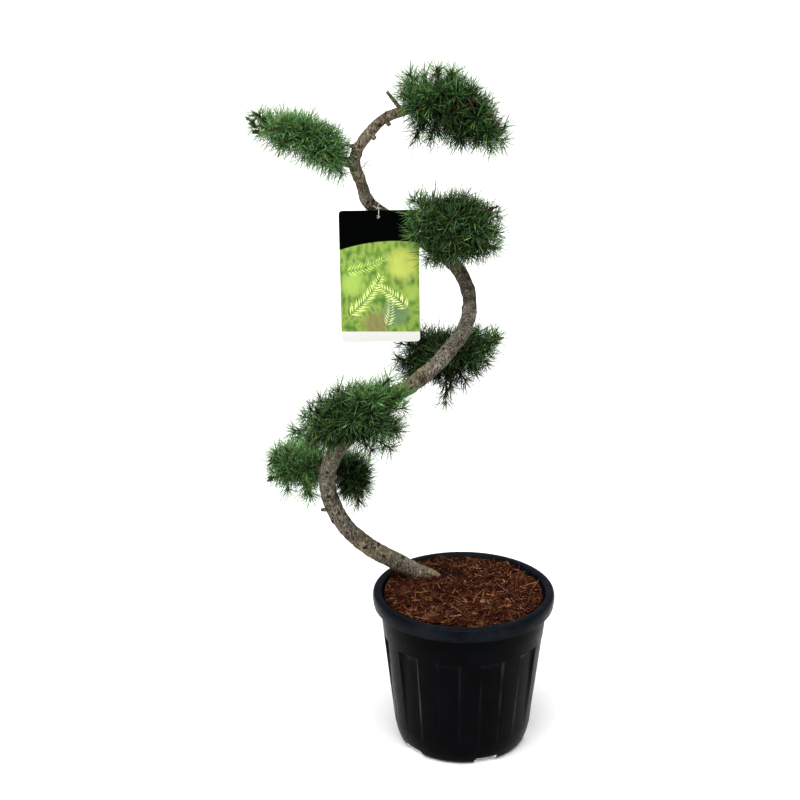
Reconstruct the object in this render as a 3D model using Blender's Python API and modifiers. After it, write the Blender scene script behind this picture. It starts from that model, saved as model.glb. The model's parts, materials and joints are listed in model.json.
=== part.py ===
"""A larch bonsai with a winding trunk, growing in a black plastic nursery pot.

Seven sprays of soft green needles grow from the trunk, and a label hangs from it by a tie.
The pot stands on the ground at the origin. Z is up, -Y is the front and +X is the right.
"""

import math
import random

import bmesh
import bpy
import numpy as np
from mathutils import Matrix, Vector, kdtree, noise

MM = 0.001
GAP = 0.3 * MM

# The pot: radii and heights of its turned form.
POT_HEIGHT = 243 * MM
POT_STEPS = 44
LIP_RADIUS = 135.3 * MM
LIP_SKIRT = 222 * MM
COLLAR_RADIUS = 121.6 * MM
COLLAR_BOTTOM = 198 * MM
RIB_TOP_RADIUS = 119.8 * MM
RIB_TOP = 182.5 * MM
RIB_FOOT_RADIUS = 102.2 * MM
RIB_FOOT = 33 * MM
FOOT_RADIUS = 88 * MM
FOOT_WIDTH = 4 * MM
WALL = 2.5 * MM
BASE_UNDERSIDE = 11 * MM
CENTRE_FOOT_RADIUS = 20 * MM
FLUTE_COUNT = 11
FLUTE_START = math.radians(-12.4)
FLUTE_DEPTH = 5 * MM
FLUTE_LEDGE = 177 * MM
NOTCH_COUNT = 5
NOTCH_WIDTH = 32 * MM
NOTCH_HEIGHT = 9.5 * MM
NOTCH_START = math.radians(20.5)
DRAIN_RADIUS = 6 * MM
DRAIN_CIRCLE = 66 * MM

# The soil: its level, how far it swells and dips, and its fall towards the right.
SOIL_LEVEL = 238 * MM
SOIL_SWELL = 5 * MM
SOIL_LEAN = -0.018
SOIL_RINGS = 4

# The trunk: the middle of the stem, and its radius, from the roots to the tip of the leader.
TRUNK_PATH = (
    ((-6, 52, 176), 14.0),
    ((-22, 54, 208), 13.6),
    ((-47, 50, 235), 13.2),
    ((-73, 42, 252), 13.0),
    ((-99, 33, 272), 12.9),
    ((-127, 24, 292), 12.8),
    ((-154, 15, 317), 12.6),
    ((-173, 8, 340), 12.4),
    ((-189, 0, 371), 12.3),
    ((-199, -10, 408), 12.2),
    ((-198, -18, 441), 12.0),
    ((-188, -28, 473), 11.8),
    ((-173, -38, 499), 11.6),
    ((-144, -50, 542), 11.4),
    ((-109, -58, 571), 11.2),
    ((-80, -60, 589), 11.0),
    ((-44, -55, 618), 10.8),
    ((-25, -44, 638), 10.5),
    ((-6, -28, 658), 10.2),
    ((4, -5, 684), 9.8),
    ((1, 12, 708), 9.8),
    ((-12, 28, 732), 9.8),
    ((-41, 43, 755), 9.6),
    ((-81, 49, 780), 9.2),
    ((-121, 38, 813), 8.8),
    ((-140, 26, 833), 8.4),
    ((-147, 14, 858), 8.1),
    ((-157, 2, 892), 8.0),
    ((-154, -6, 913), 7.6),
    ((-145, -11, 930), 7.3),
    ((-124, -19, 956), 7.1),
    ((-106, -25, 969), 7.0),
    ((-70, -33, 983), 6.2),
)
TRUNK_STEPS = 2
TRUNK_ROUNDNESS = 2

# Knots and healed cuts: a point on the stem, the way each faces, and its radius.
KNOTS = (
    ((-198, -18, 441), (-0.6, -0.7, 0.2), 7.0),
    ((-201, -13, 404), (-0.5, -0.8, -0.1), 6.5),
    ((-197, -6, 385), (-0.9, -0.2, -0.2), 7.0),
    ((-181, 4, 356), (0.4, -0.8, 0.3), 6.5),
    ((-170, 9, 338), (0.7, -0.5, 0.4), 6.0),
    ((-186, 2, 364), (-0.7, -0.5, -0.5), 6.0),
    ((-147, 17, 310), (0.1, -0.9, 0.3), 6.5),
    ((-128, 24, 293), (0.1, -0.4, 0.9), 6.5),
    ((-96, 34, 271), (0.1, -0.2, 1.0), 6.5),
    ((-4, -26, 660), (-0.7, -0.6, -0.1), 5.5),
    ((4, -5, 684), (0.9, -0.3, 0.1), 6.0),
    ((1, 12, 708), (0.7, -0.6, 0.2), 5.5),
    ((-8, 24, 726), (0.7, 0.1, 0.6), 5.5),
    ((-151, 9, 872), (0.8, -0.5, 0.1), 4.5),
)

# Broken twigs left on the bark: where each starts, where it ends, and its radius.
STUBS = (
    ((-190, 0, 372), (-209, -12, 377), 2.6),
    ((-137, -14, 943), (-127, -22, 932), 2.8),
    ((-115, -22, 964), (-107, -30, 953), 2.6),
    ((-152, -7, 921), (-169, -14, 924), 1.8),
    ((-92, -28, 976), (-112, -33, 1003), 2.4),
    ((-199, -12, 412), (-213, 4, 405), 2.4),
)

# The sprays. Each one's first stem point is where its branch ends, and its shoots run from the
# stem out to a rounded dome of these half sizes, leaning by tilt, with more shoots to stray tips.
SPRAYS = {
    "foliage_crown": {
        "branch": ((-88, -29, 978), (-70, -33, 983)),
        "stem": ((-70, -33, 983), (-42, -37, 985), (-14, -38, 976), (10, -36, 962)),
        "radius": 6.2,
        "centre": (-25, -37, 975),
        "half": (67, 48, 48),
        "tilt": -27,
        "shoots": 20,
        "needles": 142,
        "stray": ((42, -44, 938), (-62, -20, 1018), (-90, -40, 1000)),
        "seed": 11,
    },
    "foliage_upper_left": {
        "branch": ((-157, 1, 893), (-172, 1, 899), (-184, 2, 907)),
        "stem": ((-184, 2, 907), (-210, 4, 924), (-243, 3, 938), (-270, 0, 948)),
        "radius": 5.0,
        "centre": (-225, 2, 927),
        "half": (59, 34, 28),
        "tilt": -19,
        "shoots": 15,
        "needles": 108,
        "stray": ((-286, -4, 962), (-283, 6, 936), (-190, -12, 893)),
        "seed": 12,
    },
    "foliage_upper_right": {
        "branch": ((-22, 34, 740), (-21, 20, 748), (-19, 11, 757)),
        "stem": ((-19, 11, 757), (-16, 2, 778), (-14, -3, 800), (-14, -5, 824)),
        "radius": 5.0,
        "centre": (-15, -4, 802),
        "half": (60, 48, 46),
        "tilt": -6,
        "shoots": 18,
        "needles": 130,
        "stray": ((38, -8, 820), (-76, -24, 826), (-54, -24, 764)),
        "seed": 13,
    },
    "foliage_middle_right": {
        "branch": ((-8, -30, 656), (-11, -14, 645), (-13, 0, 634)),
        "stem": ((-13, 0, 634), (-16, 18, 616), (-19, 38, 603), (-20, 58, 598)),
        "radius": 5.0,
        "centre": (-24, 50, 592),
        "half": (68, 44, 38),
        "tilt": 8,
        "shoots": 18,
        "needles": 128,
        "stray": ((-28, 30, 532), (44, 38, 622), (-84, 44, 566)),
        "seed": 14,
    },
    "foliage_middle_left": {
        "branch": ((-158, -44, 521), (-160, -57, 527), (-162, -67, 535)),
        "stem": ((-162, -67, 535), (-164, -80, 547), (-160, -88, 561), (-140, -90, 575)),
        "radius": 5.0,
        "centre": (-161, -88, 552),
        "half": (72, 44, 42),
        "tilt": 16,
        "shoots": 21,
        "needles": 148,
        "stray": ((-110, -84, 506), (-93, -84, 588), (-232, -78, 522)),
        "seed": 15,
    },
    "foliage_lower_left": {
        "branch": ((-198, -16, 436), (-210, -3, 437), (-219, 6, 436)),
        "stem": ((-219, 6, 436), (-236, 18, 431), (-262, 24, 428)),
        "radius": 4.2,
        "centre": (-243, 24, 434),
        "half": (38, 34, 31),
        "tilt": -4,
        "shoots": 12,
        "needles": 84,
        "stray": ((-230, 14, 396), (-274, 16, 452), (-226, 20, 388)),
        "seed": 16,
    },
    "foliage_lower_right": {
        "branch": ((-196, -12, 422), (-184, -4, 420), (-175, 2, 419)),
        "stem": ((-175, 2, 419), (-166, 6, 419), (-156, 8, 418)),
        "radius": 3.8,
        "centre": (-166, 8, 421),
        "half": (18, 26, 32),
        "tilt": 0,
        "shoots": 8,
        "needles": 56,
        "stray": ((-156, 0, 388), (-150, 4, 446)),
        "seed": 17,
    },
}
DOME_FLOOR = -0.8
SHOOT_RADIUS = 1.9 * MM
SHOOT_TIP_RADIUS = 1.35 * MM
SHOOT_REACH = (0.62, 1.06)
COLLAR_LENGTH = 5 * MM
NEEDLE_LENGTH = 27 * MM
NEEDLE_RADIUS = 0.62 * MM
NEEDLES_FROM = 0.3
TIP_NEEDLES = ((0.92, 46), (0.95, 36), (0.975, 8))
NEEDLE_SPACING = 2.6 * MM
CLEAR_OF_BARK = 2.0 * MM
CLEAR_OF_SPRAY = 4.6 * MM
CLEAR_OF_CARD = 2.0 * MM
GOLDEN_ANGLE = math.pi * (3 - math.sqrt(5))

# The label card and the tie it hangs by.
CARD_WIDTH = 112 * MM
CARD_HEIGHT = 195 * MM
CARD_THICKNESS = 0.8 * MM
CARD_CENTRE = Vector((-123, 13, 726)) * MM
CARD_TILT = math.radians(0.8)
CARD_CORNER = 5 * MM
CARD_HOLE_DROP = 9 * MM
CARD_HOLE_RADIUS = 3.2 * MM
TIE_RADIUS = 0.8 * MM
TIE_TURN = Vector((-128, 33, 822)) * MM
TIE_LOOP_RADIUS = 11.2 * MM


def clear_scene():
    for obj in list(bpy.data.objects):
        bpy.data.objects.remove(obj, do_unlink=True)


def make_collection(name):
    collection = bpy.data.collections.new(name)
    bpy.context.scene.collection.children.link(collection)
    return collection


def make_material(name, colour, roughness):
    material = bpy.data.materials.new(name)
    material.use_nodes = True
    shader = material.node_tree.nodes["Principled BSDF"]
    shader.inputs["Base Color"].default_value = (*colour, 1)
    shader.inputs["Roughness"].default_value = roughness
    shader.inputs["Metallic"].default_value = 0
    return material


def mm(point):
    return Vector(point) * MM


def add_object(name, mesh, collection, material=None):
    obj = bpy.data.objects.new(name, mesh)
    collection.objects.link(obj)
    if material:
        mesh.materials.clear()
        mesh.materials.append(material)
    return obj


def mesh_from(bm, name):
    mesh = bpy.data.meshes.new(name)
    bm.to_mesh(mesh)
    bm.free()
    return mesh


def evaluated_mesh(obj):
    """The object's mesh with its modifiers applied."""
    graph = bpy.context.evaluated_depsgraph_get()
    return bpy.data.meshes.new_from_object(obj.evaluated_get(graph))


def smooth_line(points, steps):
    """A Catmull-Rom curve through (position, radius) points, with this many spans between two."""
    line = []
    last = len(points) - 1
    for i in range(last):
        p0, p1, p2, p3 = (points[min(max(i + k, 0), last)] for k in (-1, 0, 1, 2))
        for step in range(steps):
            t = step / steps
            weights = (
                (-t + 2 * t**2 - t**3) / 2,
                (2 - 5 * t**2 + 3 * t**3) / 2,
                (t + 4 * t**2 - 3 * t**3) / 2,
                (t**3 - t**2) / 2,
            )
            place = Vector((0, 0, 0))
            for weight, point in zip(weights, (p0, p1, p2, p3)):
                place += weight * point[0]
            line.append((place, p1[1] + (p2[1] - p1[1]) * t))
    line.append(points[-1])
    return line


def tube(name, line, roundness, collection, cyclic=False):
    """A round mesh tube along (position, radius) points, closed at both ends."""
    curve = bpy.data.curves.new(name, "CURVE")
    curve.dimensions = "3D"
    curve.bevel_depth = 1
    curve.bevel_resolution = roundness
    curve.use_fill_caps = not cyclic
    spline = curve.splines.new("POLY")
    spline.points.add(len(line) - 1)
    for point, (place, radius) in zip(spline.points, line):
        point.co = (*place, 1)
        point.radius = radius
    spline.use_cyclic_u = cyclic
    guide = add_object(name + "_guide", curve, collection)
    bpy.context.view_layer.update()
    mesh = evaluated_mesh(guide)
    matrix = guide.matrix_world.copy()
    bpy.data.objects.remove(guide, do_unlink=True)
    bm = bmesh.new()
    bm.from_mesh(mesh)
    bmesh.ops.remove_doubles(bm, verts=bm.verts, dist=0.01 * MM)
    bmesh.ops.recalc_face_normals(bm, faces=bm.faces)
    bm.to_mesh(mesh)
    bm.free()
    obj = add_object(name, mesh, collection)
    obj.matrix_world = matrix
    return obj


def cone(name, start, end, radius, end_radius, sides, collection):
    """A straight tapering rod from start to end."""
    along = end - start
    turn = along.to_track_quat("Z", "Y").to_matrix().to_4x4()
    place = Matrix.Translation((start + end) / 2) @ turn
    bm = bmesh.new()
    bmesh.ops.create_cone(
        bm,
        cap_ends=True,
        segments=sides,
        radius1=radius,
        radius2=end_radius,
        depth=along.length,
        matrix=place,
    )
    return add_object(name, mesh_from(bm, name), collection)


def largest_shell(mesh):
    """Keeps the outermost surface, which fills sealed hollows and drops loose scraps."""
    bm = bmesh.new()
    bm.from_mesh(mesh)
    unseen = set(bm.faces)
    shells = []
    while unseen:
        front = [unseen.pop()]
        shell = list(front)
        while front:
            for edge in front.pop().edges:
                for face in edge.link_faces:
                    if face in unseen:
                        unseen.remove(face)
                        front.append(face)
                        shell.append(face)
        shells.append(shell)
    shells.sort(key=len)
    scraps = [face for shell in shells[:-1] for face in shell]
    bmesh.ops.delete(bm, geom=scraps, context="FACES")
    bm.to_mesh(mesh)
    bm.free()


def joined(name, body, others, collection, material):
    """One solid from a body and a collection of pieces that are sunk into it."""
    union = body.modifiers.new("join", "BOOLEAN")
    union.operation = "UNION"
    union.operand_type = "COLLECTION"
    union.collection = others
    union.solver = "MANIFOLD"
    bpy.context.view_layer.update()
    mesh = evaluated_mesh(body)
    for obj in [body, *others.objects]:
        bpy.data.objects.remove(obj, do_unlink=True)
    bpy.data.collections.remove(others)
    largest_shell(mesh)
    mesh.name = name
    return add_object(name, mesh, collection, material)


def cut(body, cutters):
    """Takes each cutter out of the body with a Boolean modifier that stays on it."""
    for cutter in cutters:
        cutter.hide_render = True
        cutter.display_type = "WIRE"
        difference = body.modifiers.new(cutter.name, "BOOLEAN")
        difference.operation = "DIFFERENCE"
        difference.object = cutter


def turned(name, profile, collection, steps):
    """A turned solid from a profile of (radius, height) points, as a plain mesh."""
    mesh = bpy.data.meshes.new(name)
    points = [(radius, 0, height) for radius, height in profile]
    edges = [(i, i + 1) for i in range(len(points) - 1)]
    mesh.from_pydata(points, edges, [])
    guide = add_object(name + "_guide", mesh, collection)
    screw = guide.modifiers.new("turn", "SCREW")
    screw.angle = 2 * math.pi
    screw.steps = steps
    screw.render_steps = steps
    screw.use_merge_vertices = True
    screw.merge_threshold = 0.01 * MM
    bpy.context.view_layer.update()
    solid = evaluated_mesh(guide)
    bpy.data.objects.remove(guide, do_unlink=True)
    return add_object(name, solid, collection)


def front_angle(place):
    """The angle round the pot from the front, growing towards the right."""
    return math.atan2(place.x, -place.y)


def flute_share(place):
    """How much of the flute's depth applies here: 1 on its floor, 0 on the ribs between flutes."""
    if not RIB_FOOT < place.z < FLUTE_LEDGE + GAP:
        return 0
    spacing = 2 * math.pi / FLUTE_COUNT
    away = abs((front_angle(place) - FLUTE_START + spacing / 2) % spacing - spacing / 2)
    across = 1 if away < 0.2 * spacing else 0
    return across * (place.z - RIB_FOOT) / (FLUTE_LEDGE - RIB_FOOT)


def press_flutes(obj):
    """Pushes the wall in along the flutes, and turns the mesh so the pattern is on its points."""
    turn = Matrix.Rotation(FLUTE_START + math.pi / POT_STEPS, 4, "Z")
    obj.data.transform(turn)
    for vertex in obj.data.vertices:
        radius = vertex.co.xy.length
        if radius > 0:
            vertex.co.xy *= 1 - FLUTE_DEPTH * flute_share(vertex.co) / radius


def inner_profile(inset):
    """The pot's inner wall from the base up, moved in by this much."""
    slope = (RIB_TOP_RADIUS - RIB_FOOT_RADIUS) / (RIB_TOP - RIB_FOOT)
    floor = BASE_UNDERSIDE + WALL + inset
    ledge_radius = RIB_FOOT_RADIUS + slope * (FLUTE_LEDGE - RIB_FOOT)
    return [
        (89 * MM - inset, floor),
        (RIB_FOOT_RADIUS - 6 * MM - inset, 20 * MM),
        (RIB_FOOT_RADIUS - WALL - inset, RIB_FOOT),
        (ledge_radius - WALL - inset, FLUTE_LEDGE),
        (RIB_TOP_RADIUS - WALL - inset, COLLAR_BOTTOM),
    ]


def build_pot(parts, cutters, material):
    slope = (RIB_TOP_RADIUS - RIB_FOOT_RADIUS) / (RIB_TOP - RIB_FOOT)
    ledge_radius = RIB_FOOT_RADIUS + slope * (FLUTE_LEDGE - RIB_FOOT)
    inside = [(0, BASE_UNDERSIDE + WALL), *inner_profile(0)]
    lip = [
        (COLLAR_RADIUS - 1.8 * MM, POT_HEIGHT - 6 * MM),
        (COLLAR_RADIUS + 1.2 * MM, POT_HEIGHT - 1.4 * MM),
        (COLLAR_RADIUS + 5.6 * MM, POT_HEIGHT),
        (LIP_RADIUS - 3 * MM, POT_HEIGHT - 1.8 * MM),
        (LIP_RADIUS, POT_HEIGHT - 8 * MM),
        (LIP_RADIUS - 1.8 * MM, LIP_SKIRT),
        (LIP_RADIUS - 4.2 * MM, LIP_SKIRT),
        (LIP_RADIUS - 3 * MM, POT_HEIGHT - 8 * MM),
        (COLLAR_RADIUS + 5.6 * MM, POT_HEIGHT - 3 * MM),
        (COLLAR_RADIUS + 0.8 * MM, POT_HEIGHT - 8 * MM),
    ]
    outside = [
        (COLLAR_RADIUS, COLLAR_BOTTOM),
        (RIB_TOP_RADIUS, RIB_TOP),
        (ledge_radius, FLUTE_LEDGE),
        (RIB_FOOT_RADIUS, RIB_FOOT),
        (98.8 * MM, 17 * MM),
        (94 * MM, 4.5 * MM),
        (FOOT_RADIUS, 0),
        (FOOT_RADIUS - FOOT_WIDTH, 0),
        (FOOT_RADIUS - FOOT_WIDTH - 3 * MM, BASE_UNDERSIDE),
        (CENTRE_FOOT_RADIUS + 2 * MM, BASE_UNDERSIDE),
        (CENTRE_FOOT_RADIUS, 0),
        (0, 0),
    ]
    pot = turned("pot", inside + lip + outside, parts, POT_STEPS)
    press_flutes(pot)
    pot.data.materials.append(material)
    holes = []
    for i in range(NOTCH_COUNT):
        angle = NOTCH_START + 2 * math.pi * i / NOTCH_COUNT
        turn = Matrix.Rotation(angle, 4, "Z")
        notch = bmesh.new()
        size = Matrix.Diagonal((NOTCH_WIDTH, 40 * MM, 2 * NOTCH_HEIGHT, 1))
        place = Matrix.Translation((0, -FOOT_RADIUS - 8 * MM, 0))
        bmesh.ops.create_cube(notch, size=1, matrix=turn @ place @ size)
        holes.append(add_object(f"notch_{i}", mesh_from(notch, "notch"), cutters))
        drain = bmesh.new()
        place = Matrix.Translation((0, -DRAIN_CIRCLE, BASE_UNDERSIDE))
        bmesh.ops.create_cone(
            drain,
            cap_ends=True,
            segments=10,
            radius1=DRAIN_RADIUS,
            radius2=DRAIN_RADIUS,
            depth=12 * MM,
            matrix=turn @ place,
        )
        holes.append(add_object(f"drain_{i}", mesh_from(drain, "drain"), cutters))
    cut(pot, holes)
    pot.data.shade_smooth()
    pot.data.set_sharp_from_angle(angle=math.radians(35))


def soil_height(place):
    """The level of the soil's surface: a low swell with dips, settled lower at the wall."""
    swell = noise.noise(place * 22) + 0.6 * noise.noise(place * 55 + Vector((7, 3, 1)))
    level = SOIL_LEVEL + SOIL_LEAN * place.x
    return level + SOIL_SWELL * (swell + 0.5 - place.xy.length / COLLAR_RADIUS)


def build_soil(parts, cutters, material, trunk_line):
    wall = inner_profile(GAP)
    top_radius = COLLAR_RADIUS - 2.6 * MM - GAP
    top = [(top_radius * (1 - i / SOIL_RINGS), SOIL_LEVEL) for i in range(SOIL_RINGS + 1)]
    soil = turned("soil", [(0, wall[0][1]), *wall, *top], parts, POT_STEPS)
    press_flutes(soil)
    for vertex in soil.data.vertices:
        if vertex.co.z > SOIL_LEVEL - 1 * MM:
            vertex.co.z = soil_height(Vector((vertex.co.x, vertex.co.y, 0)))
    soil.data.materials.append(material)
    root = [(place, radius + GAP) for place, radius in trunk_line if place.z < 290 * MM]
    start, start_radius = root[0]
    below = start - (root[1][0] - start).normalized() * GAP
    root[0] = (below, start_radius)
    cut(soil, [tube("stem_hole", root, TRUNK_ROUNDNESS, cutters)])
    soil.data.shade_smooth()


def build_trunk(parts, material, trunk_line):
    extras = make_collection("trunk_extras")
    body = tube("trunk_body", trunk_line, TRUNK_ROUNDNESS, parts)
    for i, (place, facing, radius) in enumerate(KNOTS):
        away = Vector(facing).normalized()
        stem_radius = min(trunk_line, key=lambda point: (point[0] - mm(place)).length)[1]
        bm = bmesh.new()
        turn = away.to_track_quat("Z", "Y").to_matrix().to_4x4()
        centre = Matrix.Translation(mm(place) + away * (stem_radius - 2.2 * MM))
        size = Matrix.Diagonal((radius * MM, radius * MM, 0.7 * radius * MM, 1))
        bmesh.ops.create_icosphere(bm, subdivisions=1, radius=1, matrix=centre @ turn @ size)
        add_object(f"knot_{i}", mesh_from(bm, "knot"), extras)
    for i, (start, end, radius) in enumerate(STUBS):
        cone(f"stub_{i}", mm(start), mm(end), radius * MM, 0.8 * radius * MM, 5, extras)
    for name, spray in SPRAYS.items():
        if name != "foliage_crown":
            tube("branch_" + name, branch_line(name, spray, trunk_line), 1, extras)
    trunk = joined("trunk", body, extras, parts, material)
    trunk.data.shade_smooth()


class Surroundings:
    """What a shoot or needle keeps clear of: the bark, the label card and the other sprays."""

    def __init__(self, trunk_line):
        bark = list(trunk_line)
        for spray in SPRAYS.values():
            ends = [mm(point) for point in spray["branch"]]
            for start, end in zip(ends, ends[1:]):
                for step in range(6):
                    bark.append((start.lerp(end, step / 5), 1.5 * spray["radius"] * MM))
        for start, end, radius in STUBS:
            for step in range(5):
                bark.append((mm(start).lerp(mm(end), step / 4), radius * MM))
        self.bark_radii = [radius for _, radius in bark]
        self.bark = kdtree.KDTree(len(bark))
        for i, (place, _) in enumerate(bark):
            self.bark.insert(place, i)
        self.bark.balance()
        self.reach = max(self.bark_radii) + 12 * MM
        self.others = []
        self.sprays = kdtree.KDTree(0)
        self.sprays.balance()

    def hits_bark(self, point):
        for place, i, distance in self.bark.find_range(point, self.reach):
            if distance < self.bark_radii[i] + CLEAR_OF_BARK:
                return True
        return False

    def hits_card(self, point):
        offset = point - CARD_CENTRE
        beside = abs(offset.x) < CARD_WIDTH / 2 + 4 * MM
        level = abs(offset.z) < CARD_HEIGHT / 2 + 4 * MM
        return beside and level and abs(offset.y) < CLEAR_OF_CARD

    def hits_tie(self, point):
        return (point - TIE_TURN).length < 26 * MM

    def passes_card(self, start, end):
        """Whether the line goes through the card from one side to the other."""
        before = start.y - CARD_CENTRE.y
        after = end.y - CARD_CENTRE.y
        if before * after >= 0:
            return False
        return self.hits_card(start.lerp(end, before / (before - after)))

    def crosses(self, start, end, skip=0.0):
        """Whether the line from start to end comes too near to anything, past its first part."""
        for step in range(11):
            point = start.lerp(end, skip + (1 - skip) * step / 10)
            if self.hits_bark(point) or self.hits_card(point) or self.hits_tie(point):
                return True
            if self.sprays.find_range(point, CLEAR_OF_SPRAY):
                return True
        return self.passes_card(start, end)

    def add_spray(self, lines):
        """Remembers a finished spray's needles and shoots as points a few millimetres apart."""
        for start, end in lines:
            count = max(2, math.ceil((end - start).length / (4 * MM)))
            self.others += [start.lerp(end, i / count) for i in range(count + 1)]
        self.sprays = kdtree.KDTree(len(self.others))
        for i, point in enumerate(self.others):
            self.sprays.insert(point, i)
        self.sprays.balance()


def branch_line(name, spray, trunk_line):
    """The branch that carries a spray; the crown's is the end of the leader itself."""
    if name == "foliage_crown":
        return trunk_line[-2:]
    thick = spray["radius"] * MM
    points = [mm(point) for point in spray["branch"]]
    last = len(points) - 1
    return [(place, thick * (1.5 - 0.5 * i / last)) for i, place in enumerate(points)]


def stem_line(spray, branch):
    """A spray's stem. It carries straight on from its branch, past a hair's gap, and then bends."""
    seat, radius = branch[-1]
    ahead = (seat - branch[-2][0]).normalized()
    points = [(mm(point), radius * (1 - 0.22 * i)) for i, point in enumerate(spray["stem"])]
    line = smooth_line(points, 2)
    return [(seat + ahead * GAP, radius), (seat + ahead * COLLAR_LENGTH, radius), *line[1:]]


def shoot_lines(spray, stem, surroundings):
    """The shoots of a spray, each a (start, end) pair from its stem out to its dome."""
    draw = random.Random(spray["seed"])
    centre = mm(spray["centre"])
    half = mm(spray["half"])
    lean = Matrix.Rotation(-math.radians(spray["tilt"]), 3, "Y")
    starts = [place for place, _ in stem[2:]]
    tips = [mm(point) for point in spray["stray"]]
    for i in range(spray["shoots"]):
        height = 1 - (1 - DOME_FLOOR) * (i + 0.5) / spray["shoots"]
        level = math.sqrt(max(0, 1 - height**2))
        angle = GOLDEN_ANGLE * i + spray["seed"]
        reach = draw.uniform(*SHOOT_REACH)
        out = Vector((level * math.cos(angle), level * math.sin(angle), height)) * reach
        tips.append(centre + lean @ Vector(a * b for a, b in zip(out, half)))
    shoots = []
    for tip in tips:
        for start in sorted(starts, key=lambda place: (place - tip).length):
            if not surroundings.crosses(start, tip, 0.12):
                shoots.append((start, tip))
                break
    return shoots


def needle_lines(spray, shoots, surroundings):
    """Needles set round each shoot in a spiral, with a whorl at its tip, as (root, end) pairs."""
    draw = random.Random(spray["seed"] + 100)
    total = sum((end - start).length for start, end in shoots)
    spread = 0.9 - NEEDLES_FROM
    spacing = spread * total / (spray["needles"] - len(TIP_NEEDLES) * len(shoots))
    needles = []
    taken = np.zeros((0, 3))
    turn = 0.0
    for start, end in shoots:
        along = (end - start).normalized()
        side = along.orthogonal().normalized()
        length = (end - start).length
        count = max(1, round(spread * length / spacing))
        places = [(NEEDLES_FROM + spread * (i + 0.5) / count, 60) for i in range(count)]
        for share, slant in [*places, *TIP_NEEDLES]:
            for attempt in range(9):
                turn += GOLDEN_ANGLE
                lean = math.radians(slant + draw.uniform(-14, 10) + 3 * attempt)
                across = Matrix.Rotation(turn, 3, along) @ side
                way = (along * math.cos(lean) + across * math.sin(lean)).normalized()
                way = (way + Vector((0, 0, 0.12))).normalized()
                root = start.lerp(end, share)
                tip = root + way * NEEDLE_LENGTH * draw.uniform(0.86, 1.14)
                points = np.array([root.lerp(tip, i / 10) for i in range(1, 11)])
                gaps = np.linalg.norm(taken[:, None] - points[None], axis=2)
                if gaps.size and gaps.min() < NEEDLE_SPACING:
                    continue
                if not surroundings.crosses(root, tip):
                    needles.append((root, tip))
                    taken = np.concatenate([taken, points])
                    break
    return needles


def build_spray(name, spray, branch, parts, material, surroundings):
    pieces = make_collection(name + "_pieces")
    line = stem_line(spray, branch)
    stem = tube(name + "_stem", line, 1, parts)
    shoots = shoot_lines(spray, line, surroundings)
    for i, (start, end) in enumerate(shoots):
        cone(f"shoot_{i}", start, end, SHOOT_RADIUS, SHOOT_TIP_RADIUS, 4, pieces)
    needles = needle_lines(spray, shoots, surroundings)
    for i, (root, tip) in enumerate(needles):
        cone(f"needle_{i}", root, tip, NEEDLE_RADIUS, 0, 3, pieces)
    joined(name, stem, pieces, parts, material)
    surroundings.add_spray(shoots + needles)


def build_card(parts, cutters, material):
    """The label: a thin upright card with round corners and a hole for its tie."""
    bm = bmesh.new()
    size = Matrix.Diagonal((CARD_WIDTH, CARD_THICKNESS, CARD_HEIGHT, 1))
    bmesh.ops.create_cube(bm, size=1, matrix=size)
    corners = [edge for edge in bm.edges if edge.verts[0].co.y * edge.verts[1].co.y < 0]
    bmesh.ops.bevel(bm, geom=corners, offset=CARD_CORNER, segments=3, affect="EDGES", profile=0.5)
    card = add_object("tag_card", mesh_from(bm, "tag_card"), parts, material)
    card.matrix_world = Matrix.Translation(CARD_CENTRE) @ Matrix.Rotation(-CARD_TILT, 4, "Y")
    hole = bmesh.new()
    spin = Matrix.Rotation(math.pi / 2, 4, "X")
    bmesh.ops.create_cone(
        hole,
        cap_ends=True,
        segments=12,
        radius1=CARD_HOLE_RADIUS,
        radius2=CARD_HOLE_RADIUS,
        depth=6 * MM,
        matrix=spin,
    )
    cutter = add_object("tag_hole", mesh_from(hole, "tag_hole"), cutters)
    cutter.location = hole_place()
    cut(card, [cutter])


def hole_place():
    lift = CARD_HEIGHT / 2 - CARD_HOLE_DROP
    return CARD_CENTRE + Vector((-math.sin(CARD_TILT) * lift, 0, math.cos(CARD_TILT) * lift))


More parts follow.
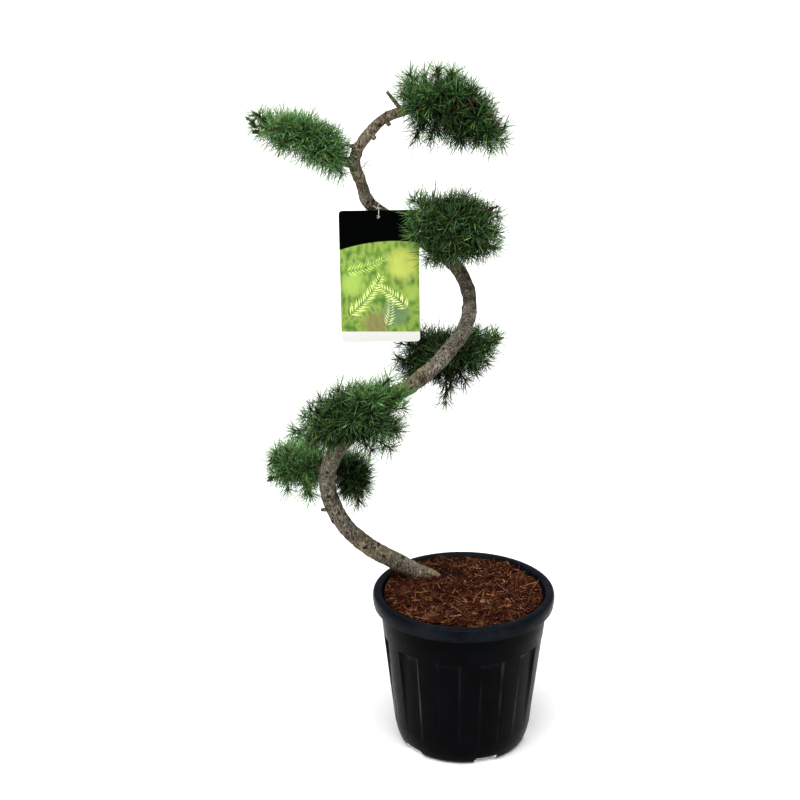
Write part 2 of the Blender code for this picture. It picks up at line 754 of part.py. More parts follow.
def build_tie(parts, material, trunk_line):
    """A thin cord from the card's hole round the stem and back, with two cut ends at its knot."""
    nearest = min(range(1, len(trunk_line) - 1), key=lambda i: (trunk_line[i][0] - TIE_TURN).length)
    along = (trunk_line[nearest + 1][0] - trunk_line[nearest - 1][0]).normalized()
    centre = trunk_line[nearest][0]
    front = (Vector((0, -1, 0)) - along * along.dot(Vector((0, -1, 0)))).normalized()
    up = along.cross(front).normalized()
    if up.z < 0:
        up = -up
    hole = hole_place()
    loop = [hole + mm(offset) for offset in ((0, -2.4, -0.6), (0, 0, -0.8), (0, 2.6, -0.6))]
    for degrees in (-100, -140, 180, 140, 100, 60, 20):
        angle = math.radians(degrees)
        loop.append(centre + TIE_LOOP_RADIUS * (math.cos(angle) * front + math.sin(angle) * up))
    over_edge = CARD_HOLE_DROP / MM + 3.4
    loop += [hole + mm(offset) for offset in ((0, 0.4, over_edge), (0, -2.6, over_edge - 5))]
    points = [(place, TIE_RADIUS) for place in loop]
    ring = smooth_line(points + [points[0]], 2)[:-1]
    body = tube("tie_loop", ring, 1, parts, cyclic=True)
    ends = make_collection("tie_ends")
    knot = loop[-3]
    for i, way in enumerate(((-0.6, -0.5, 0.9), (0.8, -0.4, 0.5))):
        cone(f"tie_end_{i}", knot, knot + Vector(way) * 9 * MM, TIE_RADIUS, TIE_RADIUS, 5, ends)
    bm = bmesh.new()
    bmesh.ops.create_icosphere(bm, subdivisions=1, radius=1.9 * MM, matrix=Matrix.Translation(knot))
    add_object("tie_knot", mesh_from(bm, "tie_knot"), ends)
    joined("tag_tie", body, ends, parts, material)


def main():
    clear_scene()
    parts = make_collection("larch_bonsai")
    cutters = make_collection("cutters")
    trunk_line = smooth_line([(mm(place), radius * MM) for place, radius in TRUNK_PATH], TRUNK_STEPS)
    build_pot(parts, cutters, make_material("pot_plastic", (0.016, 0.018, 0.021), 0.42))
    build_soil(parts, cutters, make_material("soil_fibre", (0.17, 0.062, 0.03), 0.95), trunk_line)
    build_trunk(parts, make_material("bark", (0.22, 0.17, 0.12), 0.85), trunk_line)
    leaf = make_material("needles", (0.06, 0.17, 0.045), 0.55)
    surroundings = Surroundings(smooth_line(trunk_line, 2))
    for name, spray in SPRAYS.items():
        branch = branch_line(name, spray, trunk_line)
        build_spray(name, spray, branch, parts, leaf, surroundings)
    build_card(parts, cutters, make_material("tag_print", (0.5, 0.65, 0.12), 0.35))
    build_tie(parts, make_material("tie_cord", (0.72, 0.7, 0.62), 0.7), trunk_line)
    cutters.hide_render = True


main()
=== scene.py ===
"""The looks of a larch bonsai in its nursery pot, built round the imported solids.

Lengths are in metres, and in millimetres in the lists of places and sizes. Z is up, -Y is the
front and +X is the right.
"""

import json
import math
import random
from collections import namedtuple

import bmesh
import bpy
import numpy as np
from mathutils import Matrix, Vector, noise

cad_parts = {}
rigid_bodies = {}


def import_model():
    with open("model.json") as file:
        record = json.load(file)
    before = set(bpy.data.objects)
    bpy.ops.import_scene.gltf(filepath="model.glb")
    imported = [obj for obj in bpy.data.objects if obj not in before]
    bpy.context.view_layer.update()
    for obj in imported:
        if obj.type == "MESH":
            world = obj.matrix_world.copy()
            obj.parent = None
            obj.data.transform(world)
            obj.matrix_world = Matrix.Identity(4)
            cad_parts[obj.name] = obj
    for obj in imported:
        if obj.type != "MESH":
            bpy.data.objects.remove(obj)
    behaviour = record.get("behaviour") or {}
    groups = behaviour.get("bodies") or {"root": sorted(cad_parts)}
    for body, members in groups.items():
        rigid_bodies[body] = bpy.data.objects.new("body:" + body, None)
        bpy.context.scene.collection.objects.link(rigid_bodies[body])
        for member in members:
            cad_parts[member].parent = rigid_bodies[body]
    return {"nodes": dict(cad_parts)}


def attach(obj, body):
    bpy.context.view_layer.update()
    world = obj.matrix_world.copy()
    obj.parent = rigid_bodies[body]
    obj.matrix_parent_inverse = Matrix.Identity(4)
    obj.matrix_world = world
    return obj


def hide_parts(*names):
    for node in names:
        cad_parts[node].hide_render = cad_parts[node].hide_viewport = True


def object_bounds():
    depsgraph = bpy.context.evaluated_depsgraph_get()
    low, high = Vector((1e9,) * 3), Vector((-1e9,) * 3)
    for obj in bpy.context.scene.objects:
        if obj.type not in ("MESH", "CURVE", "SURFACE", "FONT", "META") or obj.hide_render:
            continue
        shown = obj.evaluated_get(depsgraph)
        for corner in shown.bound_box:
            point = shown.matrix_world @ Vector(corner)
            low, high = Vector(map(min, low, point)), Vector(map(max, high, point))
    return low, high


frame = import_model()
cad_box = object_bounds()

MM = 0.001
ROOT = "root"
GOLDEN_ANGLE = math.pi * (3 - math.sqrt(5))

# The camera, as fitted to the outline of the pot.
CAMERA_PLACE = (-0.0945, -3.0, 1.714)
CAMERA_DOWN = math.radians(21.3)
CAMERA_LENS = 100.9
CAMERA_REACH = 60
SENSOR = 36.0

# The pot's turned form, as in the solids.
POT_STEPS = 264
PROFILE_SPACING = 4.5 * MM
CORNER_RADIUS = 5 * MM
POT_HEIGHT = 243 * MM
LIP_RADIUS = 135.3 * MM
LIP_SKIRT = 222 * MM
COLLAR_RADIUS = 121.6 * MM
COLLAR_BOTTOM = 198 * MM
RIB_TOP_RADIUS = 119.8 * MM
RIB_TOP = 182.5 * MM
RIB_FOOT_RADIUS = 102.2 * MM
RIB_FOOT = 33 * MM
FOOT_RADIUS = 88 * MM
FOOT_WIDTH = 4 * MM
WALL = 2.5 * MM
BASE_UNDERSIDE = 11 * MM
CENTRE_FOOT_RADIUS = 20 * MM
FLUTE_COUNT = 11
FLUTE_START = math.radians(-12.4)
FLUTE_DEPTH = 5 * MM
FLUTE_LEDGE = 177 * MM
NOTCH_COUNT = 5
NOTCH_WIDTH = 32 * MM
NOTCH_HEIGHT = 9.5 * MM
NOTCH_START = math.radians(20.5)
DRAIN_RADIUS = 6 * MM
DRAIN_CIRCLE = 66 * MM
BASE_REACH = 60 * MM
SHARP_EDGE = math.radians(38)
RIB_SLOPE = (RIB_TOP_RADIUS - RIB_FOOT_RADIUS) / (RIB_TOP - RIB_FOOT)
LEDGE_RADIUS = RIB_FOOT_RADIUS + RIB_SLOPE * (FLUTE_LEDGE - RIB_FOOT)
INNER_PROFILE = (
    (89 * MM, BASE_UNDERSIDE + WALL),
    (RIB_FOOT_RADIUS - 6 * MM, 20 * MM),
    (RIB_FOOT_RADIUS - WALL, RIB_FOOT),
    (LEDGE_RADIUS - WALL, FLUTE_LEDGE),
    (RIB_TOP_RADIUS - WALL, COLLAR_BOTTOM),
)
POT_PROFILE = (
    (0, BASE_UNDERSIDE + WALL),
    *INNER_PROFILE,
    (COLLAR_RADIUS - 1.8 * MM, POT_HEIGHT - 6 * MM),
    (COLLAR_RADIUS + 0.4 * MM, POT_HEIGHT - 0.6 * MM),
    (COLLAR_RADIUS + 5.6 * MM, POT_HEIGHT),
    (LIP_RADIUS - 1.6 * MM, POT_HEIGHT - 0.8 * MM),
    (LIP_RADIUS, POT_HEIGHT - 8 * MM),
    (LIP_RADIUS - 1.8 * MM, LIP_SKIRT),
    (LIP_RADIUS - 4.2 * MM, LIP_SKIRT),
    (LIP_RADIUS - 3 * MM, POT_HEIGHT - 8 * MM),
    (COLLAR_RADIUS + 5.6 * MM, POT_HEIGHT - 3 * MM),
    (COLLAR_RADIUS + 0.8 * MM, POT_HEIGHT - 8 * MM),
    (COLLAR_RADIUS, COLLAR_BOTTOM),
    (RIB_TOP_RADIUS, RIB_TOP),
    (LEDGE_RADIUS, FLUTE_LEDGE),
    (RIB_FOOT_RADIUS, RIB_FOOT),
    (98.8 * MM, 17 * MM),
    (94 * MM, 4.5 * MM),
    (FOOT_RADIUS, 0),
    (FOOT_RADIUS - FOOT_WIDTH, 0),
    (FOOT_RADIUS - FOOT_WIDTH - 3 * MM, BASE_UNDERSIDE),
    (CENTRE_FOOT_RADIUS + 2 * MM, BASE_UNDERSIDE),
    (CENTRE_FOOT_RADIUS, 0),
    (0, 0),
)

# Each flute's half width, and its sloping side, as shares of the spacing of the flutes, and the
# pale marks on its edges: light scuffing on every edge, with a painted highlight added that is
# strongest at this angle to either side of the front.
FLUTE_HALF = 0.285
FLUTE_SIDE = 0.05
LEDGE_DROP = 4 * MM
SCUFF_AND_HIGHLIGHT = (0.075, 0.078, 0.08)
HIGHLIGHT_ANGLE = math.radians(38)
HIGHLIGHT_SPREAD = 0.16
WORN_LEAST = 0.15

# The soil.
SOIL_LEVEL = 238 * MM
SOIL_SWELL = 5 * MM
SOIL_LEAN = -0.018
SOIL_RADIUS = 118.6 * MM
SOIL_GAP = 0.6 * MM
SOIL_RINGS = 46
SOIL_STEPS = 200
STEM_GAP = 13.5 * MM
FIBRE_COUNT = 13000
FIBRE_FLATNESS = 0.5
CHIP_COUNT = 1000
CRUMB_LIFT = 2.2 * MM
STRAW = ((-61, 96, 268), (-46, 100, 254))
STRAW_RADIUS = 0.7 * MM
SOIL_SEED = 41
BED_TINT = (0.5, 0.42, 0.4)
WHITE = (1, 1, 1)

# The middle of the stem and its radius, in millimetres, from the roots to the leader's tip.
TRUNK_PATH = (
    ((-6, 52, 176), 14.0), ((-22, 54, 208), 13.6), ((-47, 50, 235), 13.2), ((-73, 42, 252), 13.0),
    ((-99, 33, 272), 12.9), ((-127, 24, 292), 12.8), ((-154, 15, 317), 12.6), ((-173, 8, 340), 12.4),
    ((-189, 0, 371), 12.3), ((-199, -10, 408), 12.2), ((-198, -18, 441), 12.0),
    ((-188, -28, 473), 11.8), ((-173, -38, 499), 11.6), ((-144, -50, 542), 11.4),
    ((-109, -58, 571), 11.2), ((-80, -60, 589), 11.0), ((-44, -55, 618), 10.8),
    ((-25, -44, 638), 10.5), ((-6, -28, 658), 10.2), ((4, -5, 684), 9.8), ((1, 12, 708), 9.8),
    ((-12, 28, 732), 9.8), ((-41, 43, 755), 9.6), ((-81, 49, 780), 9.2), ((-121, 38, 813), 8.8),
    ((-140, 26, 833), 8.4), ((-147, 14, 858), 8.1), ((-157, 2, 892), 8.0), ((-154, -6, 913), 7.6),
    ((-145, -11, 930), 7.3), ((-124, -19, 956), 7.1), ((-106, -25, 969), 7.0), ((-70, -33, 983), 6.2),
)
BARK_SIDES = 72
BARK_STEPS = 18
BRANCH_SIDES = 28
STUB_SIDES = 14

# Knots and healed cuts, in millimetres: how high up the stem each sits, how far across it as
# a share of its radius, seen from the front with the right positive, and the knot's radius.
KNOTS = (
    (448, 0.0, 5.0), (406, -0.05, 5.0), (372, 0.2, 4.5), (387, -0.9, 5.0), (361, -0.85, 5.0),
    (352, 0.9, 4.5), (340, -0.3, 3.5), (312, -0.2, 5.5), (300, 0.8, 5.5), (289, 0.0, 4.5),
    (272, 0.8, 5.0), (726, 0.5, 6.0), (708, 0.95, 5.0), (684, -0.95, 5.0), (634, -0.6, 4.0),
    (617, -0.9, 4.0), (872, 0.9, 4.0), (838, 0.0, 4.0), (833, 0.7, 4.5), (918, -0.8, 5.0),
    (958, 0.5, 4.0),
)
KNOT_FRONT = Vector((0, -0.93, 0.36))
KNOT_REACH = 2.2
KNOT_PALEST = -0.3
SMALL_KNOTS = 46
KNOT_SEED = 29
# A band of darker bark round this height, and a rusty band round the next.
DARK_BAND_HEIGHT = 700 * MM
DARK_BAND_SPREAD = 85 * MM
RUSTY_HEIGHT = 945 * MM
RUSTY_SPREAD = 35 * MM

# Broken twigs left on the bark: where each starts, where it ends, and its radius.
STUBS = (
    ((-190, 0, 372), (-209, -12, 377), 2.6),
    ((-137, -14, 943), (-129, -21, 935), 3.6),
    ((-115, -22, 964), (-109, -29, 956), 3.4),
    ((-152, -7, 921), (-169, -14, 924), 1.8),
    ((-92, -28, 976), (-112, -33, 1003), 2.4),
    ((-199, -12, 409), (-210, 1, 404), 3.0),
)

# The sprays, with the places, sizes and lean of the solids and more shoots, in millimetres and
# degrees. The crown sits on the leader itself, so it has no branch. The stray shoots end outside
# the spray's dome.
# A spray's lift of its green stands for fresher needles and for painted light on the better lit sprays.
Spray = namedtuple("Spray", "branch stem radius centre half tilt shoots fresh seed stray")
SPRAYS = {
    "foliage_crown": Spray(
        branch=(),
        stem=((-70, -33, 983), (-42, -37, 985), (-14, -38, 976), (10, -36, 962)), radius=6.2,
        centre=(-25, -37, 975), half=(67, 48, 48), tilt=-27, shoots=78, fresh=0.12, seed=11,
        stray=(
            (42, -44, 938), (-62, -20, 1018), (-90, -40, 1000), (-78, -52, 994), (-84, -14, 1008),
            (-70, -50, 946), (-52, -20, 938), (30, -30, 926), (36, -60, 950),
            (-44, -36, 1030), (-80, -30, 1024), (-26, -38, 1027), (44, -40, 956),
        ),
    ),
    "foliage_upper_left": Spray(
        branch=((-157, 1, 893), (-172, 1, 899), (-184, 2, 907)),
        stem=((-184, 2, 907), (-210, 4, 924), (-243, 3, 938), (-270, 0, 948)), radius=5.0,
        centre=(-225, 2, 927), half=(59, 34, 28), tilt=-19, shoots=56, fresh=0.66, seed=12,
        stray=(
            (-286, -4, 962), (-283, 6, 936), (-190, -12, 893), (-176, -10, 884), (-176, 12, 888),
            (-176, -6, 916), (-182, 14, 922), (-292, 0, 948),
        ),
    ),
    "foliage_upper_right": Spray(
        branch=((-22, 34, 740), (-21, 20, 748), (-19, 11, 757)),
        stem=((-19, 11, 757), (-16, 2, 778), (-14, -3, 800), (-14, -5, 824)), radius=5.0,
        centre=(-15, -4, 802), half=(60, 48, 46), tilt=-6, shoots=74, fresh=0.2, seed=13,
        stray=(
            (38, -8, 820), (-76, -24, 826), (-54, -24, 764), (-74, -30, 800), (-66, 6, 838),
            (34, -34, 784), (40, 14, 790), (-74, -6, 842),
        ),
    ),
    "foliage_middle_right": Spray(
        branch=((-8, -30, 656), (-11, -14, 645), (-13, 0, 634)),
        stem=((-13, 0, 634), (-16, 18, 616), (-19, 38, 603), (-20, 58, 598)), radius=5.0,
        centre=(-24, 50, 592), half=(68, 44, 38), tilt=8, shoots=70, fresh=-0.05, seed=14,
        stray=(
            (-28, 30, 532), (44, 38, 622), (-84, 44, 566), (-94, 40, 592), (-90, 60, 608),
            (-22, 52, 546), (40, 50, 624), (14, 44, 630), (-70, 46, 628),
        ),
    ),
    "foliage_middle_left": Spray(
        branch=((-158, -44, 521), (-160, -57, 527), (-162, -67, 535)),
        stem=((-162, -67, 535), (-164, -80, 547), (-160, -88, 561), (-140, -90, 575)), radius=5.0,
        centre=(-161, -88, 552), half=(72, 44, 42), tilt=16, shoots=84, fresh=0.22, seed=15,
        stray=(
            (-110, -84, 506), (-93, -84, 588), (-232, -78, 522), (-100, -78, 530), (-104, -104, 540),
            (-122, -70, 512), (-136, -84, 504), (-240, -92, 534), (-112, -80, 604),
        ),
    ),
    "foliage_lower_left": Spray(
        branch=((-198, -16, 436), (-210, -3, 437), (-219, 6, 436)),
        stem=((-219, 6, 436), (-236, 18, 431), (-262, 24, 428)), radius=4.2,
        centre=(-243, 24, 434), half=(38, 34, 31), tilt=-4, shoots=44, fresh=0.62, seed=16,
        stray=(
            (-230, 14, 396), (-274, 16, 452), (-226, 20, 388), (-258, 10, 402), (-216, -4, 456),
            (-222, 10, 458),
        ),
    ),
    "foliage_lower_right": Spray(
        branch=((-196, -12, 422), (-184, -4, 420), (-175, 2, 419)),
        stem=((-175, 2, 419), (-166, 6, 419), (-156, 8, 418)), radius=3.8,
        centre=(-166, 8, 421), half=(18, 26, 32), tilt=0, shoots=30, fresh=0.1, seed=17,
        stray=((-156, 0, 388), (-150, 4, 446), (-178, -2, 452), (-176, 14, 396)),
    ),
}

# Single needles: where each starts and ends.
LONE_NEEDLES = {
    "foliage_upper_left": (
        ((-150, -3, 890), (-131, -8, 907)),
        ((-150, -3, 889), (-128, -8, 898)),
        ((-150, -3, 887), (-131, -8, 877)),
        ((-150, -3, 886), (-139, -8, 900)),
    ),
    "foliage_upper_right": (
        ((-47, -4, 850), (-45, -4, 882)),
        ((-72, -10, 836), (-84, -8, 858)),
    ),
}
LONE_WIDTH = 0.75 * MM
LONE_BEND = (0.05, 0, -0.04)
LONE_TINT = (0.1, 0.085, 0.055)

# Brown buds and twig ends that stand out of the needles. The form gives shares of a bud's length
# and the radius there in millimetres.
BUDS = {
    "foliage_crown": (
        (22, -70, 983), (31, -64, 968), (2, -68, 1000), (38, -54, 953), (-44, -38, 1030),
    ),
    "foliage_upper_left": ((-296, 0, 953), (-290, -4, 962), (-291, -8, 942)),
    "foliage_upper_right": ((32, -12, 832), (25, -20, 828)),
    "foliage_middle_right": ((46, 38, 622), (40, 34, 618)),
    "foliage_lower_left": ((-282, 20, 414), (-279, 16, 441)),
}
BUDS_TOGETHER = 5
BUD_FORM = ((-0.6, 0.7), (0.0, 1.3), (0.55, 1.7), (1.0, 0.5))

# Shoots, the tufts on their outer share, and the needles of a tuft. The knob under a tuft is
# given by the millimetres along it and its radius there.
SPUR_FORM = ((-1.0, 1.3), (1.2, 1.5), (2.6, 0.8))
DOME_FLOOR = -0.8
SHOOT_REACH = (0.48, 1.0)
SHOOT_STEPS = 5
TWIG_SIDES = 6
BARE_SHARE = 0.28
TUFTED_SHARE = 0.72
SPUR_SPACING = 7.4 * MM
SPUR_NEEDLES = 24
SPUR_ASIDE = (0.3, 0.5, 0.81)
NEEDLE_LENGTH = 25.6 * MM
NEEDLE_WIDTH = 0.5 * MM
NEEDLE_BEND = 0.11
BEYOND_BOX = 0.012
CLEARANCE = 0.5 * MM
CHECKED_SHARES = (0.25, 0.5, 0.75, 1.0)
CHECKED_AT_ONCE = 4000
# Needle greens: the deep end stands for darker needles and for painted shade inside the sprays, the
# bright end for fresher needles and for painted light on their tops and outsides.
DEEP_SHADED_GREEN = np.array((0.0015, 0.011, 0.003))
FRESH_LIT_GREEN = np.array((0.19, 0.37, 0.115))
PALE_END = np.array((0.22, 0.26, 0.12))
DRY_NEEDLE = (0.24, 0.17, 0.07)

# A needle or fibre: two rings of three corners, as shares of its length and width, and a tip.
BLADE_SHARES = (0.0, 0.66)
BLADE_WIDTHS = (0.85, 1.0)
BLADE_POINTS = 7
BLADE_SIDES = (math.pi / 2, math.pi * 7 / 6, math.pi * 11 / 6)
BLADE_ASIDE = np.array((0.31, 0.2, 0.93))
BLADE_FLATNESS = 0.62

# The label card, and its sprigs: base, heading, length, number of leaves, leaf length and tint.
# Their leaves stay between these two shares of the card's height.
CARD_WIDTH = 112 * MM
CARD_HEIGHT = 195 * MM
CARD_THICKNESS = 0.8 * MM
CARD_CENTRE = Vector((-123, 13, 726)) * MM
CARD_TILT = math.radians(0.8)
CARD_HOLE_DROP = 9 * MM
CARD_MARGIN = 1.5 * MM
SPRIGS = (
    ((-46, -58), 0.62, 74, 17, 17, (0.7, 0.86, 0.3)),
    ((40, -50), 2.2, 62, 14, 15, (0.82, 0.92, 0.34)),
    ((-50, 8), 0.05, 60, 13, 14, (0.52, 0.74, 0.18)),
    ((8, -76), 1.15, 46, 11, 12, (0.78, 0.84, 0.46)),
)
SPRIG_FLOOR = -0.41
SPRIG_CEILING = 0.19
SPRIG_SEED = 5

# The tie: its loop round the stem, and two cut ends that run along these directions.
TIE_SIDES = 12
TIE_RADIUS = 0.6 * MM
TIE_TURN = Vector((-128, 33, 822)) * MM
TIE_LOOP_RADIUS = 11.2 * MM
TIE_LOOP_ANGLES = (-100, -140, 180, 140, 100, 60, 20)
TIE_END_WAYS = ((-0.6, -0.5, 0.9), (0.8, -0.4, 0.5))
TIE_END_SHARES = (0, 0.25, 0.5, 0.75, 1.0)
TIE_END_LENGTH = 9
TIE_END_DROOP = 3 * MM

# The white stage and its light.
FLOOR_REACH = 14.0
FLOOR_DROP = 0.2 * MM
FLOOR_COLOUR = (0.9, 0.9, 0.9, 1)
AIR_COLOUR = (1.0, 1.0, 1.0, 1)
AIR_STRENGTH = 0.5
SUNS = (("key", (0.3, 0.55, -1.15), 2.5, 60), ("fill", (-0.45, 0.35, -1.0), 1.0, 80))

# Materials of a noise that runs between two colours, times each part's own tint: roughness and
# specular, the noise's scale, detail and roughness, the colours, the bump's strength and
# distance, and a finer noise where that makes the bump.
GRAINED = {
    "larch_needles": (
        (0.5, 0.1), (60, 2, 0.5), ((0.82, 0.85, 0.82), (1.12, 1.1, 1.05)), (0.1, 0.0002), (900, 2, 0.5),
    ),
    "twig_bark": (
        (0.85,), (300, 5, 0.65), ((0.01, 0.008, 0.004), (0.085, 0.056, 0.03)), (0.6, 0.0006), (),
    ),
    "soil_crumb": (
        (0.92, 0.2), (520, 6, 0.7), ((0.008, 0.003, 0.0015), (0.06, 0.02, 0.01)), (0.6, 0.0008), (),
    ),
    "coir_fibre": (
        (0.92, 0.2), (520, 6, 0.7), ((0.03, 0.01, 0.004), (0.2, 0.073, 0.03)), (0.6, 0.0008), (),
    ),
    "bark_chip": (
        (0.92, 0.2), (520, 6, 0.7), ((0.018, 0.006, 0.003), (0.13, 0.048, 0.022)), (0.6, 0.0008), (),
    ),
    "card_ink": ((0.33,), (90, 2, 0.5), ((0.8, 0.85, 0.8), (1.15, 1.1, 1.0)), (), ()),
}


def mm(point):
    return Vector(point) * MM


def new_mesh(name, points, faces, tints=None):
    """A smooth mesh, with a colour for each point or one for all."""
    mesh = bpy.data.meshes.new(name)
    mesh.from_pydata(points, [], faces)
    if tints is not None:
        layer = mesh.color_attributes.new("tint", "FLOAT_COLOR", "POINT")
        rows = np.ones((len(points), 4), np.float32)
        rows[:, :3] = tints
        layer.data.foreach_set("color", rows.ravel())
    mesh.shade_smooth()
    return mesh


def new_object(name, data):
    obj = bpy.data.objects.new(name, data)
    bpy.context.scene.collection.objects.link(obj)
    return obj


def add_piece(name, form, tints, material, slot, *nodes):
    """Adds a piece that rides on the part and takes the place of these nodes."""
    points, faces = form
    obj = new_object(name, new_mesh(name, np.asarray(points).tolist(), faces, tints))
    obj.data.materials.append(material)
    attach(obj, ROOT)
    if nodes:
        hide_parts(*nodes)
    return obj


def smooth_line(points, steps):
    """A Catmull-Rom curve through (position, radius) points, with this many spans between two."""
    line = []
    last = len(points) - 1
    for i in range(last):
        p0, p1, p2, p3 = (points[min(max(i + k, 0), last)] for k in (-1, 0, 1, 2))
        for step in range(steps):
            t = step / steps
            weights = (
                (-t + 2 * t**2 - t**3) / 2,
                (2 - 5 * t**2 + 3 * t**3) / 2,
                (t + 4 * t**2 - 3 * t**3) / 2,
                (t**3 - t**2) / 2,
            )
            place = Vector((0, 0, 0))
            for weight, point in zip(weights, (p0, p1, p2, p3)):
                place += weight * point[0]
            line.append((place, p1[1] + (p2[1] - p1[1]) * t))
    line.append(points[-1])
    return line


def trunk_line(steps):
    """The stem's middle and radius, with this many spans between two of its listed points."""
    return smooth_line([(mm(place), radius * MM) for place, radius in TRUNK_PATH], steps)


def stem_section(line, front, gap):
    """The stem's middle, radius, front and side where this gap is least along a line."""
    nearest = min(range(1, len(line) - 1), key=lambda i: gap(line[i][0]))
    along = (line[nearest + 1][0] - line[nearest - 1][0]).normalized()
    facing = (front - along * along.dot(front)).normalized()
    return *line[nearest], facing, along.cross(facing)


def unit(rows):
    return rows / np.maximum(np.linalg.norm(rows, axis=-1, keepdims=True), 1e-9)


def bow(start, middle, end, t):
    """A point on the arc from start to end that leans towards the middle."""
    return (1 - t) ** 2 * start + 2 * t * (1 - t) * middle + t**2 * end


def rings_along(line, sides):
    """Points of a tube round a line: (rings, sides, 3), with the outward direction of each."""
    places = [place for place, _ in line]
    rings = []
    outs = []
    side = (places[1] - places[0]).orthogonal().normalized()
    for i, (place, radius) in enumerate(line):
        ahead = places[min(i + 1, len(line) - 1)] - places[max(i - 1, 0)]
        ahead.normalize()
        side = (side - ahead * side.dot(ahead)).normalized()
        other = ahead.cross(side)
        out = []
        for k in range(sides):
            angle = 2 * math.pi * k / sides
            out.append(side * math.cos(angle) + other * math.sin(angle))
        rings.append([place + way * radius for way in out])
        outs.append(out)
    return np.array(rings, float), np.array(outs, float)


def ring_faces(count, sides):
    """Quads between successive rings of points."""
    i, k = np.meshgrid(np.arange(count - 1), np.arange(sides), indexing="ij")
    after = (k + 1) % sides
    corners = (i * sides + k, i * sides + after, (i + 1) * sides + after, (i + 1) * sides + k)
    return np.stack([corner.ravel() for corner in corners], 1).tolist()


def tube(rings):
    """The points and faces of a tube with closed ends."""
    count, sides = rings.shape[:2]
    final = (count - 1) * sides
    caps = [list(range(sides - 1, -1, -1)), list(range(final, final + sides))]
    return rings.reshape(-1, 3), ring_faces(count, sides) + caps


def joined(forms):
    """The points and faces of many forms as one."""
    points, faces = [], []
    offset = 0
    for form_points, form_faces in forms:
        points.append(form_points)
        faces += [[corner + offset for corner in face] for face in form_faces]
        offset += len(form_points)
    return np.concatenate(points), faces


def tubes(lines, sides):
    return joined([tube(rings_along(line, sides)[0]) for line in lines])


def copies(faces, size, count):
    """The triangles of this many copies of a form with this many points."""
    return (np.array(faces)[None] + size * np.arange(count)[:, None, None]).reshape(-1, 3).tolist()


def blades(roots, ways, lengths, widths, bends, flatness=BLADE_FLATNESS):
    """Thin three-sided blades with a pointed end, and the share along the blade of each point."""
    count = len(roots)
    side = unit(np.cross(ways, BLADE_ASIDE))
    top = np.cross(side, ways)
    points = np.empty((count, BLADE_POINTS, 3))
    along = np.empty((count, BLADE_POINTS))
    for ring, (share, width) in enumerate(zip(BLADE_SHARES, BLADE_WIDTHS)):
        centre = roots + ways * (lengths * share)[:, None] + bends * (lengths * share**2)[:, None]
        for corner, angle in enumerate(BLADE_SIDES):
            out = side * math.cos(angle) + top * (flatness * math.sin(angle))
            points[:, 3 * ring + corner] = centre + out * (widths * width)[:, None]
            along[:, 3 * ring + corner] = share
    points[:, -1] = roots + ways * lengths[:, None] + bends * lengths[:, None]
    along[:, -1] = 1
    faces = [(0, 2, 1)]
    for a, b in ((0, 1), (1, 2), (2, 0)):
        faces += [(a, b, b + 3), (a, b + 3, a + 3), (a + 3, b + 3, BLADE_POINTS - 1)]
    return (points.reshape(-1, 3), copies(faces, BLADE_POINTS, count)), along.reshape(-1)


class Nodes:
    """A new material, with short ways to add and link its shader nodes."""

    def __init__(self, name, roughness=0.5, specular=0.5):
        self.material = bpy.data.materials.new(name)
        self.material.use_nodes = True
        self.tree = self.material.node_tree
        self.shader = self.tree.nodes["Principled BSDF"].inputs
        self.shader["Roughness"].default_value = roughness
        self.shader["Specular IOR Level"].default_value = specular

    def link(self, source, target):
        self.tree.links.new(source, target)

    def add(self, kind, inputs, **settings):
        """Adds a node with these settings, and with these numbers, colours or links at its inputs."""
        node = self.tree.nodes.new("ShaderNode" + kind)
        for key, value in settings.items():
            setattr(node, key, value)
        for key, value in inputs.items():
            if isinstance(value, bpy.types.NodeSocket):
                self.link(value, node.inputs[key])
            elif isinstance(value, tuple):
                node.inputs[key].default_value = (*value, 1)
            else:
                node.inputs[key].default_value = value
        return node

    def noise(self, scale, detail, roughness):
        inputs = {"Scale": scale, "Detail": detail, "Roughness": roughness}
        return self.add("TexNoise", inputs).outputs["Fac"]

    def ramp(self, source, stops):
        node = self.add("ValToRGB", {"Fac": source})
        elements = node.color_ramp.elements
        while len(elements) < len(stops):
            elements.new(0.5)
        for element, (position, colour) in zip(elements, stops):
            element.position = position
            element.color = (*colour, 1)
        return node.outputs["Color"]

    def mix(self, kind, factor, first, second):
        inputs = {0: factor, 6: first, 7: second}
        return self.add("Mix", inputs, data_type="RGBA", blend_type=kind).outputs[2]

    def math(self, operation, *values):
        return self.add("Math", dict(enumerate(values)), operation=operation).outputs[0]

    def step(self, value, low, high):
        """A soft step from 0 to 1 between these values, which may lie either way round."""
        inputs = {"Value": value, "From Min": low, "From Max": high}
        return self.add("MapRange", inputs, interpolation_type="SMOOTHSTEP").outputs["Result"]

    def bump(self, height, strength, distance):
        node = self.add("Bump", {"Strength": strength, "Distance": distance, "Height": height})
        self.link(node.outputs["Normal"], self.shader["Normal"])

    def colour(self, source):
        self.link(source, self.shader["Base Color"])

    def position(self):
        """Sockets for the three coordinates of a point, in metres."""
        place = self.add("TexCoord", {}).outputs["Object"]
        return self.add("SeparateXYZ", {0: place}).outputs

    def tint(self):
        node = self.add("Attribute", {}, attribute_name="tint", attribute_type="GEOMETRY")
        return node.outputs["Color"]


def grained_material(name):
    finish, grain, colours, relief, fine = GRAINED[name]
    n = Nodes(name, *finish)
    shade = n.noise(*grain)
    wave = n.ramp(shade, tuple(zip((0.3, 0.7), colours)))
    n.colour(n.mix("MULTIPLY", 1.0, wave, n.tint()))
    if relief:
        n.bump(n.noise(*fine) if fine else shade, *relief)
    return n.material


